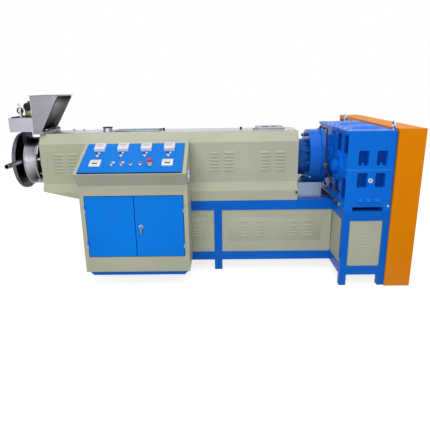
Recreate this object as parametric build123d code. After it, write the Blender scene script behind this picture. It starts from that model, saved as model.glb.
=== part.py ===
from build123d import *
import os
from math import cos, degrees, hypot, sin

os.makedirs("parts", exist_ok=True)

# Layout: x = 0 at the gearbox output face, y = 0 on the barrel axis, z = 0 on the floor
axis_height = 1018.0
overrun = 20.0
seat_gap = 0.3
edge_break = 3.0
small_break = 1.5

# Long base under the barrel
base_drop = 350.0
base_length = 2160.0
base_width = 530.0
base_post_width = 72.0
base_post_place = 1033.0
upper_rail_height = 90.0
lower_rail_height = 80.0
rail_depth = 60.0
rail_underside = 97.0
deck_sheet = 6.0
panel_sheet = 3.0
panel_inset = 6.0

# Stand under the gearbox
stand_width = 381.0
stand_front = 632.0
stand_back = 391.0
stand_step = 8.0
stand_post_width = 56.0
stand_rail_height = 83.0

# Gearbox
split_drop = 18.0
upper_case_height = 285.0
case_corner = 14.0
case_foot_height = 34.0
case_foot_width = 66.0
cover_plate_height = 23.0
cover_overhang = 12.0
hump_rise = 24.0
hump_width = 260.0
hump_inset = 60.0
hump_slope = 48.0
hump_places = (-340.0, 30.0)
pocket_width = 80.0
pocket_height = 117.0
pocket_depth = 40.0
pocket_pitch = 145.0
pocket_shift = 9.5
pocket_drop = 25.0
pocket_lift = 36.0
pocket_corner = 9.0
rib_pitch = 205.0
rib_end_margin = 70.0
rib_slot_width = 118.0
rib_slot_depth = 40.0
rib_slot_head = 20.0
rib_slot_rise = 110.0
rib_slot_drop = 75.0
rib_slot_foot = 40.0
rib_slot_corner = 16.0
input_place = -400.0
boss_radius = 124.0
boss_reach = 26.0
boss_cap_radius = 48.0
boss_cap_reach = 34.0
eye_bar_radius = 8.0
eye_radius = 24.0
eye_shank_radius = 11.0
eye_shank_height = 26.0
eye_end_inset = 46.0
eye_front_inset = 26.0
eye_back_inset = 146.0
gauge_radius = 19.0
gauge_reach = 9.0
gauge_drop = 84.0
lug_width = 46.0
lug_height = 24.0
lug_reach = 20.0
lug_drop = 258.0
lug_pitch = 70.0

# Thrust housing between gearbox and hood, as stations along the barrel
thrust_root_radius = 200.0
thrust_flange_radius = 258.0
thrust_body_radius = 250.0
thrust_nose_radius = 165.0
thrust_root_length = 66.0
thrust_flange_length = 43.0
thrust_body_length = 105.0
thrust_nose_length = 140.0
pedestal_length = 214.0
pedestal_width = 400.0
pedestal_drop = 205.0
pedestal_place = 94.0
oil_pipe_radius = 7.0
oil_pipe_rise = 20.0
oil_pipe_gap = 20.0
oil_pipe_drop = 61.0
oil_pipe_reach = 30.0
oil_pipe_bend = 15.0
oil_foot_drop = 213.0
oil_rib_share = 0.5
oil_nut_radius = 13.0
oil_nut_length = 24.0

# Barrel and hood
barrel_radius = 105.0
barrel_flange_radius = 172.0
barrel_flange_length = 14.0
barrel_flange_gap = 4.0
screw_radius = 75.0
hood_length = 2287.0
hood_start = 318.0
hood_sheet = 4.0
hood_width = 460.0
hood_top_width = 344.0
hood_rise = 256.0
skirt_height = 91.0
flare_height = 74.0
chamfer_height = 86.0
overhang_rise = 103.0
end_hole_clearance = 4.0
vent_radius = 46.0
vent_height = 39.0
vent_place = 2042.0
top_plate_length = 420.0
top_plate_width = 190.0
top_plate_height = 14.0
top_plate_place = 1753.0
throat_length = 244.0
throat_width = 230.0
throat_height = 24.0
throat_bore_radius = 72.0
throat_wall = 12.0
throat_bolt_radius = 7.0
throat_bolt_margin = 24.0
throat_place = 552.0
knob_radius = 10.0
knob_height = 24.0
knob_places = (815.0, 1524.0)

# Die drum, feeder box and wedge hopper at the far end of the barrel
drum_radius = 214.0
drum_length = 121.0
groove_radius = 165.0
groove_length = 50.0
rim_radius = 254.0
rim_length = 35.0
die_recess_radius = 150.0
die_recess_depth = 22.0
die_hub_radius = 55.0
die_neck_length = 14.0
clamp_angles = (-45.0, 45.0)
clamp_lug_height = 26.0
clamp_lug_length = 17.0
clamp_lug_width = 34.0
clamp_bolt_radius = 8.0
clamp_bolt_reach = 9.0
drum_pipe_radius = 21.0
drum_pipe_wall = 4.0
drum_pipe_length = 258.0
drum_pipe_rise = 18.0
feeder_width = 368.0
feeder_length = 214.0
feeder_rise = 21.0
feeder_height = 120.0
bracket_length = 36.0
bracket_width = 150.0
funnel_height = 310.0
funnel_mouth_length = 249.0
funnel_foot_length = 69.0
funnel_sheet = 3.0
funnel_foot_rim = 26.0
funnel_lip = 12.0
funnel_overhang = 47.0
gear_motor_radius = 42.0
gear_cowl_radius = 46.0
gear_motor_front = 80.0
gear_cowl_length = 42.0
gear_motor_length = 150.0
gear_motor_place = 111.0
gear_motor_rise = 71.0
gear_foot_width = 62.0
gear_foot_length = 80.0
gear_case_length = 52.0
gear_case_width = 104.0
gear_case_height = 78.0
gear_case_gap = 16.0
motor_strap_width = 15.0
motor_strap_sheet = 8.0
motor_strap_height = 126.0
motor_strap_offset = 18.0

# Belt guard and drive
guard_width = 211.0
guard_front = 650.0
guard_back = 1100.0
guard_rise = 322.0
guard_sheet = 3.0
guard_flange = 40.0
pulley_gap = 45.0
pulley_width = 112.0
input_pulley_radius = 210.0
motor_pulley_radius = 105.0
belt_width = 94.0
belt_height = 13.0
groove_clearance = 0.5
input_shaft_radius = 36.0
motor_shaft_radius = 30.0
motor_place = 735.0
motor_axis_height = 350.0
motor_radius = 178.0
motor_fin_height = 16.0
motor_fin_width = 6.0
motor_fin_count = 36
motor_length = 430.0
motor_shield_length = 45.0
motor_shield_radius = 198.0
motor_cowl_length = 120.0
motor_cowl_radius = 196.0
motor_guard_gap = 60.0
motor_foot_width = 70.0
motor_foot_reach = 165.0
motor_shaft_height = 200.0
terminal_box_size = 120.0
terminal_box_height = 70.0
slide_rail_width = 70.0
slide_rail_length = 460.0

# Control desk and cabinet
cabinet_width = 890.0
cabinet_centre = -1720.0
cabinet_depth = 357.0
cabinet_base_gap = 3.0
cabinet_bottom = 141.0
cabinet_sheet = 3.0
desk_overhang = 99.0
nose_height = 6.0
nose_bottom = 1006.0
apron_bottom = 897.0
desk_angle = 24.05
stile_width = 36.0
frame_depth = 28.0
door_top = 812.0
door_bottom = 276.0
door_gap = 6.0
door_depth = 22.0
door_sheet = 2.0
plate_margin_side = 34.0
plate_margin_front = 4.0
plate_margin_back = 67.0
plate_sheet = 2.0
plate_height = 12.0

# Door hinges and lock
hinge_radius = 6.0
hinge_stand_off = 8.0
hinge_pin_radius = 3.0
hinge_pin_clearance = 0.3
hinge_knuckle = 33.0
hinge_gap = 1.0
hinge_leaf_width = 15.0
hinge_leaf_sheet = 3.0
hinge_spread = 155.0
lock_inset = 47.0
lock_plate_radius = 17.0
lock_plate_height = 6.0
lock_clearance = 5.0
lock_spindle_radius = 6.0
handle_width = 16.0
handle_length = 62.0
handle_height = 12.0

# Instruments on the desk plate
column_pitch = 194.0
column_shares = (-1.5, -0.5, 0.5, 1.5)
controller_size = 88.0
controller_height = 30.0
controller_frame = 9.0
controller_recess = 2.0
controller_break = 4.0
controller_place = 349.0
meter_height = 9.0
meter_place = 126.0
meter_window_width = 46.0
meter_window_height = 20.0
meter_window_drop = 10.0
meter_window_depth = 3.0
knob_row_place = 222.0
switch_knob_height = 42.0
switch_grip_radius = 11.0
switch_row_place = 100.0
switch_pitch = 77.0
switch_shares = (-2, -1, 0, 1, 2)
bezel_radius = 15.0
bezel_height = 17.0
button_radius = 11.0
button_height = 8.0
selector_width = 9.0
selector_back = 9.0
selector_reach = 32.0
selector_height = 15.0
stop_radius = 24.0
stop_height = 18.0
stop_lip_height = 8.0
stop_crown_radius = 16.0
stop_stem_radius = 17.0
stop_stem_height = 38.0
fan_radius = 66.0
fan_rim = 9.0
fan_bar = 5.0
fan_ring_radius = 40.0
fan_hub_radius = 18.0
fan_height = 10.0
fan_inset = 140.0
fan_level = 943.0

# Bracket that carries the cabinet on the base
bracket_rail_height = 46.0
bracket_rail_depth = 60.0
bracket_rail_setback = 37.0
bracket_taper = 46.0
bracket_margin = 3.0

# Places worked out from the sizes above
base_top = axis_height - base_drop
stand_top = base_top - stand_step
split_height = axis_height - split_drop
case_top = split_height + upper_case_height
hood_top = axis_height + hood_rise
feeder_bottom = hood_top + feeder_rise
funnel_top = feeder_bottom + funnel_height
guard_height = split_height + guard_rise
guard_left = stand_width
guard_right = guard_left + guard_width
base_front = -base_width / 2
cab_back = base_front - cabinet_base_gap
cab_front = cab_back - cabinet_depth
cab_left = cabinet_centre - cabinet_width / 2
cab_right = cabinet_centre + cabinet_width / 2
nose_front = cab_front - desk_overhang
nose_top = nose_bottom + nose_height
slope = desk_angle / degrees(1)
desk_run = cab_back - nose_front
desk_top = nose_top + desk_run * sin(slope) / cos(slope)
hood_end = -(hood_start + hood_length)
flange_end = hood_end - 2 * barrel_flange_length - barrel_flange_gap
drum_right = flange_end - die_neck_length
drum_left = drum_right - drum_length
rim_left = drum_left - groove_length - rim_length
funnel_left = hood_end - funnel_overhang
origin_x = (rim_left + guard_right) / 2
origin_y = (nose_front + guard_back) / 2


# A box between two corners
def block(x0, x1, y0, y1, z0, z1):
    corner = (Align.MIN, Align.MIN, Align.MIN)
    return Pos(x0, y0, z0) * Box(x1 - x0, y1 - y0, z1 - z0, align=corner)


# A prism along x from an outline of (y, z) points
def prism_x(points, x0, x1):
    outline = make_face(Polyline(*points, close=True))
    return Pos(x0, 0, 0) * extrude(Plane.YZ * outline, amount=x1 - x0)


# A prism along y from an outline of (x, z) points
def prism_y(points, y0, y1):
    outline = make_face(Polyline(*points, close=True))
    return Pos(0, y0, 0) * extrude(Plane.XZ * outline, amount=y0 - y1)


# A cylinder along x, centred on (y, z)
def rod_x(radius, x0, x1, y, z):
    turned = Rot(0, 90, 0) * Cylinder(radius, x1 - x0, align=(Align.CENTER, Align.CENTER, Align.MIN))
    return Pos(x0, y, z) * turned


# A cylinder along z, standing on z0
def rod_z(radius, x, y, z0, z1):
    standing = Cylinder(radius, z1 - z0, align=(Align.CENTER, Align.CENTER, Align.MIN))
    return Pos(x, y, z0) * standing


# A cylinder along y, from y0 to y1
def rod_y(radius, x, z, y0, y1):
    turned = Rot(-90, 0, 0) * Cylinder(radius, y1 - y0, align=(Align.CENTER, Align.CENTER, Align.MIN))
    return Pos(x, y0, z) * turned


# A box with its upright edges rounded
def rounded_block(x0, x1, y0, y1, z0, z1):
    outline = Pos((x0 + x1) / 2, (y0 + y1) / 2) * RectangleRounded(x1 - x0, y1 - y0, case_corner)
    return Pos(0, 0, z0) * extrude(outline, amount=z1 - z0)


# A body of revolution about a line along x, from (x, radius) points that end on that line
def turned_x(points, y, z):
    outline = make_face(Polyline(*points, close=True))
    return Pos(0, y, z) * revolve(Plane.XZ * outline, axis=Axis.X)


# A body of revolution on z, from (radius, height) points
def turned_z(points):
    outline = make_face(Polyline(*points, close=True))
    return revolve(Plane.XZ * outline, axis=Axis.Z)


# A round disc on z with a broken upper edge
def disc_z(radius, height):
    side = (radius, height - small_break)
    return turned_z([(0, 0), (radius, 0), side, (radius - small_break, height), (0, height)])


# Points of a stepped round profile that runs towards -x, from (radius, length) steps with broken edges
def stepped_points(start, steps):
    points = [(start, 0)]
    x = start
    for radius, length in steps:
        end = x - length
        low = radius - edge_break
        points += [(x, low), (x - edge_break, radius), (end + edge_break, radius), (end, low)]
        x = end
    return points + [(x, 0)]


# Write one node, with the part's origin under the middle of the machine
def write(name, *pieces):
    solids = []
    for piece in pieces:
        solids.extend((Pos(-origin_x, -origin_y, 0) * piece).solids())
    export_step(Compound(solids), "parts/" + name + ".step")


# Base: posts, long rails, cross rails, deck and panels
def base_frame():
    half = base_width / 2
    inner = half - rail_depth
    rail_bottom = base_top - upper_rail_height
    lower_top = rail_underside + lower_rail_height
    left_post = -base_length
    mid_post = -base_post_place - base_post_width / 2
    bays = ((left_post + base_post_width, mid_post), (mid_post + base_post_width, 0))
    posts = []
    rails = []
    panels = []
    for y0, face in ((-half, panel_inset - half), (inner, half - panel_inset - panel_sheet)):
        y1 = y0 + rail_depth
        for x0 in (left_post, mid_post):
            posts.append(block(x0, x0 + base_post_width, y0, y1, 0, rail_bottom))
        rails.append(block(left_post, 0, y0, y1, rail_bottom, base_top))
        for x0, x1 in bays:
            rails.append(block(x0, x1, y0, y1, rail_underside, lower_top))
            panels.append(block(x0, x1, face, face + panel_sheet, lower_top, rail_bottom))
    crosses = []
    for x0 in (left_post, mid_post):
        crosses.append(block(x0, x0 + base_post_width, -inner, inner, rail_underside, lower_top))
        crosses.append(block(x0, x0 + base_post_width, -inner, inner, rail_bottom, base_top - deck_sheet))
    end_face = left_post + panel_inset
    panels.append(block(end_face, end_face + panel_sheet, -inner, inner, lower_top, rail_bottom))
    write("base_rails", *rails)
    write("base_cross_rails", *crosses)
    write("base_deck", block(left_post, 0, -inner, inner, base_top - deck_sheet, base_top))
    return posts, panels


# Stand: four posts with rails and sheet panels between them
def gearbox_stand():
    post = stand_post_width
    right = stand_width - post
    front = post - stand_front
    back = stand_back - post
    lower_top = rail_underside + lower_rail_height
    rail_bottom = stand_top - stand_rail_height
    posts = []
    for x0 in (0, right):
        for y0 in (-stand_front, back):
            posts.append(block(x0, x0 + post, y0, y0 + post, 0, stand_top))
    rails = []
    for z0, z1 in ((rail_underside, lower_top), (rail_bottom, stand_top)):
        for y0 in (-stand_front, back):
            rails.append(block(post, right, y0, y0 + post, z0, z1))
        for x0 in (0, right):
            rails.append(block(x0, x0 + post, front, back, z0, z1))
    near_faces = (panel_inset, stand_width - panel_inset - panel_sheet)
    side_panels = [block(x0, x0 + panel_sheet, front, back, lower_top, rail_bottom) for x0 in near_faces]
    end_faces = (panel_inset - stand_front, stand_back - panel_inset - panel_sheet)
    end_panels = [block(post, right, y0, y0 + panel_sheet, lower_top, rail_bottom) for y0 in end_faces]
    write("stand_rails", *rails)
    return posts, side_panels + end_panels


# How many recesses a gearbox side has between its ribs, and where the first one is
def rib_row():
    count = 1 + int((stand_front + stand_back - 2 * rib_end_margin) / rib_pitch)
    return count, rib_end_margin - stand_front


# Recesses between the cast ribs of both gearbox sides
def rib_slots(z0, z1):
    slots = []
    count, start = rib_row()
    outline = RectangleRounded(rib_slot_width, z1 - z0, rib_slot_corner)
    for index in range(count):
        slot = Plane.YZ * (Pos(start + index * rib_pitch, (z0 + z1) / 2) * outline)
        for x0 in (-overrun, stand_width - rib_slot_depth):
            slots.append(Pos(x0, 0, 0) * extrude(slot, amount=rib_slot_depth + overrun))
    return slots


# Window pockets in the two end faces of a gearbox half
def end_pockets(z0):
    pockets = []
    outline = RectangleRounded(pocket_width, pocket_height, pocket_corner)
    depth = pocket_depth + overrun
    for side in (-1, 1):
        x = (stand_width + side * pocket_pitch) / 2 + pocket_shift
        window = Plane.XZ * (Pos(x, z0 + pocket_height / 2) * outline)
        for y0 in (-stand_front - overrun, stand_back - pocket_depth):
            pockets.append(Pos(0, y0, 0) * extrude(window, amount=-depth))
    return pockets


# Small wedge-shaped lug low on the front face of the gearbox
def case_lug(x):
    low = split_height - lug_drop
    face = -stand_front
    outline = [(face, low), (face - lug_reach, low), (face, low + lug_height)]
    return prism_x(outline, x - lug_width / 2, x + lug_width / 2)


# Gearbox: two cast halves with ribs, pockets, bearing bosses and a humped cover
def gearbox():
    foot_top = stand_top + case_foot_height
    lower = rounded_block(0, stand_width, -stand_front, stand_back, foot_top, split_height)
    lower -= rib_slots(foot_top + rib_slot_foot, split_height - rib_slot_drop)
    lower -= end_pockets(split_height - pocket_drop - pocket_height)
    for x0 in (0, stand_width - case_foot_width):
        lower += block(x0, x0 + case_foot_width, -stand_front, stand_back, stand_top, foot_top)
    upper = rounded_block(0, stand_width, -stand_front, stand_back, split_height, case_top)
    upper -= rib_slots(split_height + rib_slot_rise, case_top - rib_slot_head)
    upper -= end_pockets(split_height + pocket_lift)
    cover_top = case_top + cover_plate_height
    upper += rounded_block(-cover_overhang, stand_width, -stand_front, stand_back, case_top, cover_top)
    crest = cover_top + hump_rise
    right = stand_width - hump_inset
    sloped = [(hump_inset, cover_top), (hump_inset + hump_slope, crest), (right - hump_slope, crest),
              (right, cover_top)]
    ends = prism_y(sloped, -stand_front, stand_back)
    for place in hump_places:
        half = hump_width / 2
        arc = ThreePointArc((place - half, cover_top), (place, crest), (place + half, cover_top))
        chord = Line((place + half, cover_top), (place - half, cover_top))
        upper += extrude(Plane.YZ * make_face([arc, chord]), amount=stand_width) & ends
    web = rod_x(thrust_flange_radius, 0, rib_slot_depth, 0, axis_height)
    below = block(-overrun, stand_width, -stand_front, stand_back, stand_top, split_height)
    above = block(-overrun, stand_width, -stand_front, stand_back, split_height, case_top)
    boss = rod_x(boss_radius, -boss_reach, rib_slot_depth, input_place, split_height)
    lower += (web & below)
    lower += (boss & block(-boss_reach, stand_width, -stand_front, stand_back, foot_top, split_height))
    upper += (web & above)
    upper += (boss & block(-boss_reach, stand_width, -stand_front, stand_back, split_height, case_top))
    for side in (-1, 0, 1):
        lower += case_lug(stand_width / 2 + side * lug_pitch)
    write("gearbox_lower_case", lower)
    write("gearbox_upper_case", upper)
    cap_left = -boss_reach - boss_cap_reach
    write("bearing_cap", rod_x(boss_cap_radius, cap_left, -boss_reach, input_place, split_height))
    eyes = []
    front_eye = (stand_width - eye_front_inset, eye_end_inset - stand_front)
    back_eye = (stand_width - eye_back_inset, stand_back - eye_end_inset)
    for x, y in (front_eye, back_eye):
        shank = rod_z(eye_shank_radius, x, y, cover_top, cover_top + eye_shank_height)
        ring_height = cover_top + eye_shank_height + eye_radius - eye_bar_radius
        ring = Pos(x, y, ring_height) * Rot(0, 90, 0) * Torus(eye_radius, eye_bar_radius)
        eyes.append(shank + ring)
    write("lifting_eyes", *eyes)
    gauge_front = -stand_front - gauge_reach
    gauge = rod_y(gauge_radius, stand_width / 2, split_height - gauge_drop, gauge_front, -stand_front)
    write("oil_gauge", gauge)


# Thrust housing: stepped round casting between gearbox and barrel, on its pedestal
def thrust_housing():
    steps = ((thrust_root_radius, thrust_root_length), (thrust_flange_radius, thrust_flange_length),
             (thrust_body_radius, thrust_body_length), (thrust_nose_radius, thrust_nose_length))
    points = stepped_points(0, steps)
    housing = turned_x(points, 0, axis_height)
    write("thrust_housing", housing)
    right = -pedestal_place
    left = right - pedestal_length
    half = pedestal_width / 2
    pedestal = block(left, right, -half, half, base_top, axis_height - pedestal_drop)
    write("barrel_pedestal", pedestal - housing)
    return housing, points[-1][0]


# Oil pipe from the top of the thrust housing, round its front, to the lower gearbox case
def oil_pipe(housing):
    x = -thrust_root_length - thrust_flange_length / 2
    crown = axis_height + thrust_flange_radius
    high = crown + oil_pipe_rise
    front = -thrust_flange_radius - oil_pipe_gap
    low = axis_height - oil_pipe_drop
    foot_y = rib_row()[1] + oil_rib_share * rib_pitch
    foot_z = split_height - oil_foot_drop
    corners = [(x, 0, crown), (x, 0, high), (x, front, high), (x, front, low)]
    corners += [(-oil_pipe_reach, foot_y, foot_z), (0, foot_y, foot_z)]
    path = FilletPolyline(*corners, radius=oil_pipe_bend)
    pipe = sweep(Plane(origin=path @ 0, z_dir=path % 0) * Circle(oil_pipe_radius), path=path)
    middle = low + 2 * oil_nut_length
    pipe += rod_z(oil_nut_radius, x, 0, crown - edge_break, crown + oil_pipe_radius)
    pipe += rod_z(oil_nut_radius, x, front, middle - oil_nut_length, middle)
    pipe += rod_x(oil_nut_radius, -oil_nut_length / 2, 0, foot_y, foot_z)
    write("oil_pipe", pipe - housing)


# Barrel: plain round body with a feed port and a clamped flange pair at the die
def barrel(start):
    flange = (barrel_flange_radius, barrel_flange_length)
    steps = ((barrel_radius, start - hood_end), flange, (barrel_radius, barrel_flange_gap), flange,
             (barrel_radius, die_neck_length))
    body = turned_x(stepped_points(start, steps), 0, axis_height)
    port_floor = axis_height + screw_radius
    port = rod_z(throat_bore_radius, -throat_place, 0, port_floor, axis_height + barrel_radius + overrun)
    write("barrel", body - port)
    return body


# Outline of the hood's section, drawn in by a distance
def hood_outline(inset):
    skirt = base_width / 2 - inset
    body = hood_width / 2 - inset
    top = hood_top_width / 2 - inset * (hood_width - hood_top_width) / (2 * chamfer_height) / 2
    flare_foot = base_top + skirt_height
    flare_head = flare_foot + flare_height
    chamfer_foot = hood_top - chamfer_height
    side = [(skirt, base_top - overrun), (skirt, flare_foot), (body, flare_head)]
    side += [(body, chamfer_foot - inset / 2), (top, hood_top - inset)]
    return side + [(-y, z) for y, z in reversed(side)]


# Hood: bent sheet covers, top, ends and a sloping underside at the overhang
def hood():
    left = hood_end
    right = -hood_start
    outer = prism_x(hood_outline(0), left, right)
    inner = prism_x(hood_outline(hood_sheet), left, right)
    tall = hood_top + overrun
    wide = base_width
    above_base = block(left, right, -wide, wide, base_top, tall)
    slope_foot = -base_length
    slope_head = base_top + overhang_rise
    under = prism_y([(slope_foot, base_top), (left, slope_head), (left - overrun, slope_head),
                     (left - overrun, 0), (slope_foot, 0)], -wide, wide)
    shell = ((outer - inner) & above_base) - under
    half = hood_top_width / 2
    front = shell & block(left, right, -wide, -half, 0, tall)
    back = shell & block(left, right, half, wide, 0, tall)
    write("hood_side_covers", front, back)
    throat_hole = rod_z(throat_bore_radius + throat_wall, -throat_place, 0, base_top, tall)
    write("hood_top", (shell & block(left, right, -half, half, 0, tall)) - throat_hole)
    left_end = (inner & block(left, left + hood_sheet, -wide, wide, base_top, tall)) - under
    left_end -= rod_x(barrel_radius + end_hole_clearance, left, left + hood_sheet, 0, axis_height)
    right_end = inner & block(right - hood_sheet, right, -wide, wide, base_top, tall)
    right_end -= rod_x(thrust_nose_radius + end_hole_clearance, right - hood_sheet, right, 0, axis_height)
    write("hood_ends", left_end, right_end)
    strip = prism_y([(slope_foot, base_top), (left + hood_sheet, slope_head), (left + hood_sheet, tall),
                     (slope_foot, tall)], -wide, wide)
    lifted = Pos(0, 0, hood_sheet) * strip
    write("hood_underside", ((strip - lifted) & inner) - under)


# Fittings on the hood top: vent, plate, feed throat and knobs
def hood_fittings():
    vent = rod_z(vent_radius, -vent_place, 0, hood_top, hood_top + vent_height)
    x0 = -top_plate_place - top_plate_length / 2
    half = top_plate_width / 2
    plate = block(x0, x0 + top_plate_length, -half, half, hood_top, hood_top + top_plate_height)
    write("hood_vent_and_plate", vent, plate)
    x0 = -throat_place - throat_length / 2
    half = throat_width / 2
    throat_top = hood_top + throat_height
    throat = block(x0, x0 + throat_length, -half, half, hood_top, throat_top)
    throat += rod_z(throat_bore_radius + throat_wall, -throat_place, 0, axis_height, throat_top)
    throat -= rod_z(throat_bore_radius, -throat_place, 0, axis_height, throat_top)
    throat -= rod_x(barrel_radius, x0, x0 + throat_length, 0, axis_height)
    for side_x in (-1, 1):
        for side_y in (-1, 1):
            x = -throat_place + side_x * (throat_length / 2 - throat_bolt_margin)
            y = side_y * (throat_width / 2 - throat_bolt_margin)
            throat -= rod_z(throat_bolt_radius, x, y, hood_top, throat_top)
    write("feed_throat", throat)
    knobs = []
    for place in knob_places:
        knobs.append(rod_z(knob_radius, -place, 0, hood_top, hood_top + knob_height))
    write("hood_knobs", *knobs)


# Die drum with its rim and recessed face, and the tube that stands out of its side
def die_drum():
    depth = rim_left + die_recess_depth
    steps = ((drum_radius, drum_length), (groove_radius, groove_length), (rim_radius, rim_length))
    points = stepped_points(drum_right, steps)
    recess = [(rim_left, die_recess_radius), (depth, die_recess_radius), (depth, die_hub_radius)]
    recess += [(rim_left, die_hub_radius), (rim_left, 0)]
    drum = turned_x(points[:-1] + recess, 0, axis_height)
    write("die_drum", drum)
    z = axis_height + drum_pipe_rise
    x = drum_left - groove_length / 2
    tip = -drum_radius - drum_pipe_length
    tube = rod_y(drum_pipe_radius, x, z, tip, -groove_radius / 2)
    tube -= drum
    tube -= rod_y(drum_pipe_radius - drum_pipe_wall, x, z, tip, -groove_radius / 2)
    write("drum_pipe", tube)
    half = bracket_width / 2
    x0 = x - bracket_length / 2
    x1 = x + bracket_length / 2
    write("feeder_bracket", block(x0, x1, -half, half, axis_height, feeder_bottom) - drum)
    return drum


# Swing-bolt clamps across the joint between drum and barrel flange
def die_clamps(drum, body):
    outer = drum_radius + clamp_lug_height
    half = clamp_lug_width / 2
    drum_lug = drum_right - clamp_lug_length
    flange_lug = flange_end + clamp_lug_length
    bolt_level = clamp_lug_height / 2 - outer
    clamps = []
    for angle in clamp_angles:
        clamp = block(drum_lug, drum_right, -half, half, -outer, -drum_radius / 2)
        clamp += block(flange_end, flange_lug, -half, half, -outer, -barrel_radius)
        bolt_left = drum_lug - clamp_bolt_reach
        clamp += rod_x(clamp_bolt_radius, bolt_left, flange_lug + clamp_bolt_reach, 0, bolt_level)
        clamps.append(Pos(0, 0, axis_height) * Rot(angle, 0, 0) * clamp - drum - body)
    write("die_clamps", *clamps)


# Feeder box, wedge hopper and the small gear motor on the box
def feeder():
    half = feeder_width / 2
    top = feeder_bottom + feeder_height
    left = funnel_left - feeder_length
    write("feeder_box", block(left, funnel_left, -half, half, feeder_bottom, top))
    foot = funnel_left + funnel_foot_length
    mouth = funnel_left + funnel_mouth_length
    wall = funnel_sheet
    outside = [(funnel_left, feeder_bottom), (foot, feeder_bottom)]
    outside += [(mouth, funnel_top), (funnel_left, funnel_top)]
    rise = (mouth - foot) / (funnel_top - feeder_bottom)
    skew = wall * hypot(1, rise)
    low = feeder_bottom - overrun
    high = funnel_top + overrun
    inside = [(funnel_left + wall, low), (foot - skew - overrun * rise, low),
              (mouth - skew + overrun * rise, high), (funnel_left + wall, high)]
    cavity = prism_y(inside, wall - half, half - wall)
    funnel = prism_y(outside, -half, half) - cavity
    rim = funnel_foot_rim
    flange = block(funnel_left, foot + rim, -half - rim, half + rim, hood_top, feeder_bottom)
    lip = funnel_lip
    edge = block(funnel_left - lip, mouth + lip, -half - lip, half + lip, funnel_top - wall, funnel_top)
    write("hopper", funnel + (flange - cavity) + (edge - cavity))
    x = funnel_left - gear_motor_place
    z = top + gear_motor_rise
    y0 = -gear_motor_front
    motor = rod_y(gear_cowl_radius, x, z, y0, y0 + gear_cowl_length)
    motor += rod_y(gear_motor_radius, x, z, y0, y0 + gear_motor_length)
    foot_half = gear_foot_width / 2
    foot_front = y0 + gear_cowl_length
    motor += block(x - foot_half, x + foot_half, foot_front, foot_front + gear_foot_length, top, z)
    case_right = funnel_left - gear_case_gap
    case_half = gear_case_width / 2
    case_left = case_right - gear_case_length
    motor += block(case_left, case_right, -case_half, case_half, top, top + gear_case_height)
    strap = x - motor_strap_offset
    strap_front = y0 - motor_strap_sheet
    motor += block(strap - motor_strap_width, strap, strap_front, y0, top, top + motor_strap_height)
    write("feeder_gear_motor", motor)


# Belt guard: flanged sheet ends and top, with one large side sheet
def belt_guard():
    sheet = guard_sheet
    inner = guard_right - sheet
    lip = guard_left + sheet
    under = guard_height - sheet
    ends = []
    back = guard_back - sheet
    for y0, flange0 in ((-guard_front, sheet - guard_front), (back, back - guard_flange)):
        wall = block(guard_left, inner, y0, y0 + sheet, 0, under)
        ends.append(wall + block(guard_left, lip, flange0, flange0 + guard_flange, 0, under))
    write("guard_ends", *ends)
    top = block(guard_left, inner, -guard_front, guard_back, under, guard_height)
    reach = sheet + guard_flange
    top += block(guard_left, lip, reach - guard_front, guard_back - reach, under - guard_flange, under)
    write("guard_top", top)
    write("guard_side", block(inner, guard_right, -guard_front, guard_back, 0, guard_height))


# Grooved pulley on its shaft, along x
def pulley(radius, shaft_radius, shaft_left, y, z):
    left = guard_left + pulley_gap
    right = left + pulley_width
    rim = (pulley_width - belt_width) / 2 - groove_clearance
    wheel = rod_x(radius - belt_height, left, right, y, z)
    wheel += rod_x(radius, left, left + rim, y, z)
    wheel += rod_x(radius, right - rim, right, y, z)
    return wheel + rod_x(shaft_radius, shaft_left, left, y, z)


# A loop of constant offset round both pulleys
def belt_face(offset):
    first = Pos(input_place, split_height) * Circle(input_pulley_radius - belt_height + offset)
    second = Pos(motor_place, motor_axis_height) * Circle(motor_pulley_radius - belt_height + offset)
    return make_hull(first.edges() + second.edges())


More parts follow.
